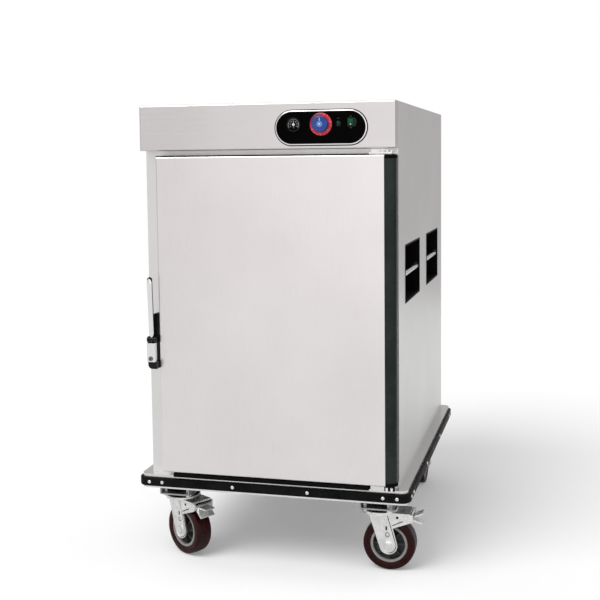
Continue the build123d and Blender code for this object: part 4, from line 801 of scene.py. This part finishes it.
def makeForkDetail(name, turning):
    # each cheek gets a bright lip along its edges, rings, rivets and a washer, and black marks painted as
    # shade: a dark line along the fold, a slot, one of the rings, and on turning forks a crease and a hole
    fork = {"cheek": 30.0 * mm, "tip": 23.0 * mm, "lip": 1.2 * mm, "fold": 3.6 * mm, "lipWidth": 2.0 * mm,
            "foldWidth": 1.7 * mm, "ringRadii": (6.2, 4.8),
            "rivets": ((56.0, 134.0, 3.0), (68.0, 139.0, 3.4))}
    place, along, across, trail, axleUp = casterFrame("wheel_roll_" + name,
                                                      "swivel_turn_" + name if turning else None)
    bodyName = "swivel_" + name if turning else "cabinet"
    topUp = 146.0 * mm if turning else 160.0 * mm
    backTop, frontTop = np.array((-23.0, 27.0 if turning else 23.0)) * mm
    tip = np.array((trail, axleUp))
    bright, dark = [], []
    for sign in (-1, 1):
        cheek = onCaster(place, along, across * sign)
        level = fork["cheek"]

        def spot(forward, up):
            return place + forward * along + np.array((0, 0, up)) + across * sign * level

        def lay(outline, rise=0.3 * mm, edge=0.1 * mm, steps=1):
            return slab(outline, level - 0.2 * mm, level + rise, edge, cheek, steps, False, True)

        # painted shade: a black strip along the fold, where the turned flange shades the cheek
        edgeLine = hullSide((frontTop - fork["fold"], topUp), tip, fork["tip"] - fork["fold"], 1)
        dark.append(lay(ribbon(edgeLine, fork["foldWidth"]), 0.12 * mm, 0.05 * mm))
        lipLine = hullSide((frontTop - fork["lip"], topUp), tip, fork["tip"] - fork["lip"], 1)
        bright.append(lay(ribbon(lipLine, fork["lipWidth"]), 0.8 * mm, 0.35 * mm, 2))
        backLine = hullSide((backTop + fork["lip"], topUp), tip, fork["tip"] - fork["lip"], -1)
        bright.append(lay(ribbon(backLine, fork["lipWidth"]), 0.8 * mm, 0.35 * mm, 2))
        washer = lathe(inMm((6.3, 0), (6.3, 1.3), (12.0, 1.3), (12.8, 0.8), (12.8, 0)),
                       spot(*tip), across * sign, 48, True)
        bright.append(washer)
        # painted shade: a black slab where the slot is shaded
        slot = stadiumOutline((0, 0), 11 * mm, 4.2 * mm, 24)
        slot = np.column_stack([-slot[:, 1], slot[:, 0]]) + tip + (-5.0 * mm, 44 * mm)
        dark.append(lay(slot, 0.1 * mm, 0.03 * mm))
        # one ring is bright, the other is black as painted shade round the embossed circle
        for radius, target in zip(fork["ringRadii"], (bright, dark)):
            ring = lathe(inMm((radius - 0.7, 0), (radius - 0.5, 0.5), (radius, 0.6), (radius + 0.5, 0.2),
                              (radius + 0.6, 0)),
                         spot(tip[0] - 2 * mm, tip[1] + 28 * mm), across * sign, 32, True)
            target.append(ring)
        if turning:
            for a, z, r in fork["rivets"]:
                dome = lathe(inMm((0.01, 1.6), (r * 0.5, 1.45), (r * 0.85, 0.9), (r, 0.1), (r, 0)),
                             spot(a * mm, z * mm), across * sign, 24)
                bright.append(dome)
            # painted shade: a black crease line and a black hole
            crease = np.array([(36.0, 118.5), (52.0, 126.5), (64.0, 131.5)]) * mm
            dark.append(lay(ribbon(crease, 2.2 * mm), 0.12 * mm, 0.05 * mm))
            hole = circleOutline((49.0 * mm, 140.0 * mm), 3.4 * mm, 24)
            dark.append(lay(hole, 0.1 * mm, 0.03 * mm))
    buildPiece("forkTrim_" + name, bright, "zinc", bodyName)
    # the black marks are painted shade, kept as one piece
    buildPiece("forkGrooves_" + name, dark, "shadowBlack", bodyName)
    if turning:
        # painted shade: a black ring where the swivel raceway's gap is shaded
        paintedShadow = lathe(inMm((22.3, 155.1), (40.0, 155.1), (43.0, 156.5), (43.0, 161.0), (22.3, 162.9)),
                     place, (0, 0, 1), 64, True)
        buildPiece("raceSeal_" + name, [paintedShadow], "shadowBlack", "cabinet")


for name in ("front_left", "front_right"):
    makeForkDetail(name, True)
for name in ("rear_left", "rear_right"):
    makeForkDetail(name, False)
print("casters dressed")


def makeLever():
    # black core and bright cover: rounded sections carried up a leaning line, closed softly at both ends
    arm = {"steps": 40, "sides": 36, "square": 3.4}
    low, high = boxOf("lever")
    joint = joints["lever_pull"]
    pivot = np.array(joint["pos_m"])
    middle = (low[0] + high[0]) / 2
    halfWide = (high[0] - low[0]) / 2
    topZ = high[2]
    coverLow = boxOf("lever_cover")[0]
    lean = pivot[1] - (coverLow[1] + 6.5 * mm)
    spin = np.linspace(0, 2 * math.pi, arm["sides"], endpoint=False)
    roundX = np.sign(np.cos(spin)) * np.abs(np.cos(spin)) ** (2 / arm["square"])
    roundY = np.sign(np.sin(spin)) * np.abs(np.sin(spin)) ** (2 / arm["square"])

    def sweep(startZ, endZ, wide, frontShift, thickLow, thickHigh, endLength):
        t = np.linspace(0, 1, arm["steps"])
        z = startZ + (endZ - startZ) * t
        fromEnd = np.minimum((z - startZ), (endZ - z)) / endLength
        close = np.sqrt(np.maximum(1 - np.maximum(1 - fromEnd, 0) ** 2, 0.0004))
        share = (z - pivot[2]) / (topZ - pivot[2])
        y = pivot[1] - lean * share - frontShift
        thick = (thickLow + (thickHigh - thickLow) * t) * (0.35 + 0.65 * close)
        x = middle + (wide * close)[:, None] * roundX
        yy = y[:, None] + (thick / 2)[:, None] * roundY
        return np.stack([x, yy, z[:, None] + 0 * x], -1), True, False

    hub = lathe([(2.6 * mm, -halfWide + 0.3 * mm), (6.4 * mm, -halfWide + 0.2 * mm),
                 (7.4 * mm, -halfWide + 1.2 * mm),
                 (7.4 * mm, halfWide - 1.2 * mm), (6.4 * mm, halfWide - 0.2 * mm),
                 (2.6 * mm, halfWide - 0.3 * mm)],
                (middle, pivot[1], pivot[2]), (1, 0, 0), 40, True)
    core = sweep(pivot[2] + 2 * mm, topZ - 0.2 * mm, halfWide - 0.15 * mm, -0.6 * mm, 8.0 * mm, 10.0 * mm,
                 5 * mm)
    buildPiece("leverCore", [hub, core], "blackPlastic", "latch_lever", ["lever"])
    cover = sweep(coverLow[2] - 1.0 * mm, topZ - 3.4 * mm, halfWide, 2.4 * mm, 5.5 * mm, 7.6 * mm, 14 * mm)
    buildPiece("leverCover", [cover], "chrome", "latch_lever", ["lever_cover"])


makeLever()
print("latch made")


def makePocketTrim():
    # a thin black lip round each pocket, and round bosses where the bars meet the pocket ends
    trim = {"lip": 3.0 * mm, "rise": 0.9 * mm, "bossLong": 5.0 * mm, "barRadius": 7.0 * mm}
    low, high = boxOf("grab_pockets")
    barLow, barHigh = boxOf("grab_bars")
    lips, bosses = [], []
    points = np.array([v.co for v in nodes["grab_bars"].data.vertices])
    rightY = np.sort(points[points[:, 0] > 0][:, 1])
    groups = np.split(rightY, np.where(np.diff(rightY) > 60 * mm)[0] + 1)
    ends = [(group.min(), group.max()) for group in groups]
    spans = [(ends[0][0], ends[1][1]), (ends[2][0], ends[3][1])]
    barZ = (barLow[2] + barHigh[2]) / 2
    barX = barHigh[0] - trim["barRadius"]
    for sign in (-1, 1):
        for first, last in spans:
            def onSide(p, h, sign=sign):
                return np.column_stack([np.full(len(p), sign * (high[0] + h)), p])
            outer = rectangle((first - trim["lip"], last + trim["lip"]),
                              (low[2] - trim["lip"], high[2] + trim["lip"]))
            profile = [(0, 0), (0, trim["rise"] * 0.7), (0.4 * mm, trim["rise"]),
                       (trim["lip"], trim["rise"]),
                       (trim["lip"] + 0.6 * mm, trim["rise"] * 0.5), (trim["lip"] + 0.6 * mm, 0)]
            rings = []
            for inset, rise in profile:
                shrunk = outer + np.array([(1, 1), (-1, 1), (-1, -1), (1, -1)]) * inset
                rings.append(onSide(shrunk, rise))
            lips.append((np.asarray(rings), False, True))
            for y, way in ((first, 1), (last, -1)):
                boss = lathe([(6.9 * mm, 0.0), (6.9 * mm, trim["bossLong"]), (8.2 * mm, trim["bossLong"]),
                              (9.4 * mm, trim["bossLong"] * 0.4), (10.6 * mm, 0.0)],
                             (sign * (barX - 2.5 * mm), y, barZ), (0, way, 0), 36, True)
                bosses.append(boss)
    buildPiece("pocketLips", lips, "pocketPlastic", "cabinet")
    buildPiece("barBosses", bosses, "brightBar", "cabinet")


makePocketTrim()
print("side pockets trimmed")


def makeHingeCovers():
    # black caps at the stile's ends, a black foot block on the deck, and two bright bolts in front of each
    cover = {"cap": 9.0 * mm, "over": 0.7 * mm, "bolt": 3.6 * mm}
    low, high = boxOf("hinge_stile")
    pivot = np.array(joints["door_swing"]["pos_m"])
    radius = (high[1] - low[1]) / 2
    turn = np.linspace(-math.pi / 2, math.pi / 2, 20)
    nose = np.column_stack([pivot[0] + radius * np.cos(turn), pivot[1] + radius * np.sin(turn)])
    flatX = low[0] + 9.0 * mm
    outline = np.concatenate([[(flatX, pivot[1] - radius)], nose, [(flatX, pivot[1] + radius)]])
    grown = outline + outwardNormals(outline) * cover["over"]

    caps = [slab(grown, low[2] + 0.3 * mm, low[2] + cover["cap"], 0.6 * mm, inPlan, 2),
            slab(grown, high[2] - cover["cap"], high[2] - 0.3 * mm, 0.6 * mm, inPlan, 2)]
    buildPiece("stileCaps", caps, "shadowBlack", "door")
    front = boxOf("hinge_brackets")[0][1]
    deckTop = boxOf("deck")[1][2]
    blockTop = low[2] - 2.2 * mm
    foot = rectangle((pivot[0] - 13 * mm, pivot[0] + 13 * mm), (front - 1.0 * mm, front + 4.0 * mm))
    foot = roundCorners(foot, 1.2 * mm, 3)
    blocks = [slab(foot, deckTop + 0.1 * mm, blockTop, 0.8 * mm, inPlan, 2)]
    buildPiece("hingeFootCover", blocks, "shadowBlack", "cabinet")
    bolts = []
    for x in (-6.5 * mm, 5.5 * mm):
        bolts.append(lathe([(0.01 * mm, blockTop - 0.4 * mm),
                            (cover["bolt"] - 1.0 * mm, blockTop - 0.4 * mm),
                            (cover["bolt"], blockTop - 1.2 * mm), (cover["bolt"], deckTop + 0.2 * mm),
                            (0.01 * mm, deckTop + 0.2 * mm)],
                           (pivot[0] + x, front - 1.2 * mm, 0), (0, 0, 1), 28))
    topBottom = high[2] + 2.2 * mm
    for x in (-16.0 * mm, -4.0 * mm, 6.5 * mm):
        bolts.append(lathe([(0.01 * mm, topBottom + 8.0 * mm), (3.0 * mm, topBottom + 8.0 * mm),
                            (3.0 * mm, topBottom + 4.3 * mm),
                            (0.01 * mm, topBottom + 4.3 * mm)], (pivot[0] + x, front + 6.0 * mm, 0),
                           (0, 0, 1), 24))
    buildPiece("hingeBolts", bolts, "chrome", "cabinet")


makeHingeCovers()
print("hinges dressed")


def makeShadowSeals():
    # black strips painted as the shade in the doorway gaps, showing as fine dark lines: above the door,
    # beside it, and on the deck below it
    paintedShadow = {"line": 1.8 * mm, "air": 0.7 * mm, "sill": 10.5 * mm, "sideAir": 0.4 * mm, "thin": 0.5 * mm}
    low, high = boxOf("door_skin")
    pillarY = boxOf("side_panels")[0][1]
    headerZ = boxOf("header_cover")[0][2]
    deckTop = boxOf("deck")[1][2]
    hingeX = boxOf("hinge_brackets")[0][0]

    # painted shade in the gap above the door
    topLow = high[2] + paintedShadow["air"]
    topHigh = min(topLow + paintedShadow["line"], headerZ - 0.1 * mm)
    above = slab(rectangle(np.array((low[0], hingeX - 2 * mm)), np.array((low[1] + 1.5 * mm, pillarY))),
                 topLow, topHigh,
                 0.2 * mm, inPlan, 1)
    # painted shade in the gap beside the door's left edge
    side = slab(rectangle(np.array((low[0] - paintedShadow["sideAir"] - paintedShadow["line"], low[0] - paintedShadow["sideAir"])),
                          np.array((pillarY - paintedShadow["thin"], pillarY))),
                low[2], high[2], 0.1 * mm, inPlan, 1)
    # painted shade on the deck under the door
    sill = slab(rectangle(np.array((low[0] + 30 * mm, hingeX - 4 * mm)),
                          np.array((low[1] + 3 * mm, pillarY))), deckTop,
                deckTop + paintedShadow["sill"], 0.6 * mm, inPlan, 2)
    buildPiece("doorwaySeals", [above, side, sill], "shadowBlack", "cabinet")


# the doorway's dark lines are painted shade
makeShadowSeals()
print("doorway shadows made")


def setCamera():
    view = {"place": (0.7218, -2.8417, 1.0341), "turn": 0.2452, "down": 0.0812, "roll": -0.0097,
            "lens": 60.89, "shiftX": -0.0247, "shiftY": -0.0961}
    turn, down, roll = view["turn"], view["down"], view["roll"]
    ahead = Vector((-math.sin(turn) * math.cos(down), math.cos(turn) * math.cos(down), -math.sin(down)))
    level = Vector((math.cos(turn), math.sin(turn), 0))
    above = level.cross(ahead)
    right = level * math.cos(roll) + above * math.sin(roll)
    up = above * math.cos(roll) - level * math.sin(roll)
    lens = bpy.data.cameras.new("studioCamera")
    lens.lens = view["lens"]
    lens.sensor_width = 36
    lens.shift_x = view["shiftX"]
    lens.shift_y = view["shiftY"]
    camera = bpy.data.objects.new("studioCamera", lens)
    rows = Matrix((right, up, -ahead)).transposed().to_4x4()
    camera.matrix_world = Matrix.Translation(view["place"]) @ rows
    bpy.context.scene.collection.objects.link(camera)
    bpy.context.scene.camera = camera


def linkedMath(tree, operation, *values):
    # a math node fed with sockets or plain numbers
    node = tree.nodes.new("ShaderNodeMath")
    node.operation = operation
    for socket, value in zip(node.inputs, values):
        if isinstance(value, (int, float)):
            socket.default_value = value
        else:
            tree.links.new(value, socket)
    return node.outputs[0]


def linkedRange(tree, value, low, high, lowTo, highTo):
    node = tree.nodes.new("ShaderNodeMapRange")
    node.interpolation_type = "SMOOTHSTEP"
    tree.links.new(value, node.inputs["Value"])
    for name, number in (("From Min", low), ("From Max", high), ("To Min", lowTo), ("To Max", highTo)):
        if isinstance(number, (int, float)):
            node.inputs[name].default_value = number
        else:
            tree.links.new(number, node.inputs[name])
    return node.outputs["Result"]


def setFloor():
    # a pale matt floor, lifted to white for the camera where nothing shades it
    floor = {"half": 4.5, "colour": 0.84, "lift": 0.19, "mirror": 0.02}
    half = floor["half"]
    mesh = bpy.data.meshes.new("floor")
    mesh.from_pydata([(-half, -half, 0), (half, -half, 0), (half, half, 0), (-half, half, 0)], [],
                     [(0, 1, 2, 3)])
    material = bpy.data.materials.new("floorPale")
    material.use_nodes = True
    tree = material.node_tree
    shader = tree.nodes["Principled BSDF"]
    shader.inputs["Base Color"].default_value = (floor["colour"],) * 3 + (1,)
    shader.inputs["Roughness"].default_value = 0.9
    shader.inputs["Specular IOR Level"].default_value = 0.0
    path = tree.nodes.new("ShaderNodeLightPath")
    lift = linkedMath(tree, "MULTIPLY", path.outputs["Is Camera Ray"], floor["lift"])
    mirror = linkedMath(tree, "MULTIPLY", path.outputs["Is Glossy Ray"], floor["mirror"])
    shader.inputs["Emission Color"].default_value = (1, 1, 1, 1)
    tree.links.new(linkedMath(tree, "ADD", lift, mirror), shader.inputs["Emission Strength"])
    mesh.materials.append(material)
    plane = bpy.data.objects.new("floor", mesh)
    bpy.context.scene.collection.objects.link(plane)


def setWorld():
    # white for the camera, an even fill for matt surfaces, and softly graded walls in what metal mirrors
    sky = {"fill": 0.56, "left": 0.74, "right": 1.22, "rear": 0.52, "above": 1.0,
           "tint": (1.0, 0.972, 0.972, 1)}
    world = bpy.data.worlds.new("studioSky")
    world.use_nodes = True
    tree = world.node_tree
    ground = tree.nodes["Background"]
    path = tree.nodes.new("ShaderNodeLightPath")
    heading = tree.nodes.new("ShaderNodeSeparateXYZ")
    tree.links.new(tree.nodes.new("ShaderNodeTexCoord").outputs["Generated"], heading.inputs["Vector"])
    front = linkedRange(tree, heading.outputs["X"], -0.46, -0.14, sky["left"], sky["right"])
    behind = linkedRange(tree, heading.outputs["Y"], -0.30, 0.10, 0.0, 1.0)
    walls = linkedMath(tree, "MULTIPLY_ADD", behind, linkedMath(tree, "SUBTRACT", sky["rear"], front), front)
    high = linkedRange(tree, heading.outputs["Z"], 0.25, 0.75, 0.0, 1.0)
    mirrored = linkedMath(tree, "MULTIPLY_ADD", high, linkedMath(tree, "SUBTRACT", sky["above"], walls),
                          walls)
    change = linkedMath(tree, "SUBTRACT", mirrored, sky["fill"])
    glossy = linkedMath(tree, "MULTIPLY", path.outputs["Is Glossy Ray"], change)
    seen = linkedMath(tree, "MAXIMUM", path.outputs["Is Camera Ray"], path.outputs["Is Transmission Ray"])
    direct = linkedMath(tree, "MULTIPLY", seen, 1.0 - sky["fill"])
    strength = linkedMath(tree, "ADD", linkedMath(tree, "ADD", sky["fill"], glossy), direct)
    tree.links.new(strength, ground.inputs["Strength"])
    tint = tree.nodes.new("ShaderNodeMix")
    tint.data_type = "RGBA"
    tree.links.new(path.outputs["Is Glossy Ray"], tint.inputs["Factor"])
    tint.inputs[6].default_value = (1, 1, 1, 1)
    tint.inputs[7].default_value = sky["tint"]
    tree.links.new(tint.outputs[2], ground.inputs["Color"])
    bpy.context.scene.world = world


def addSun():
    # one broad soft lamp from the front left, high up
    sun = {"towards": (-0.36, -0.52, 0.78), "strength": 1.75, "spread": 38}
    lamp = bpy.data.lights.new("softSun", "SUN")
    lamp.energy = sun["strength"]
    lamp.angle = math.radians(sun["spread"])
    holder = bpy.data.objects.new("softSun", lamp)
    holder.rotation_euler = Vector(sun["towards"]).to_track_quat("Z", "Y").to_euler()
    bpy.context.scene.collection.objects.link(holder)


setCamera()
setFloor()
setWorld()
addSun()
bpy.context.scene.view_settings.view_transform = "Standard"
print("camera, floor and lamps set")
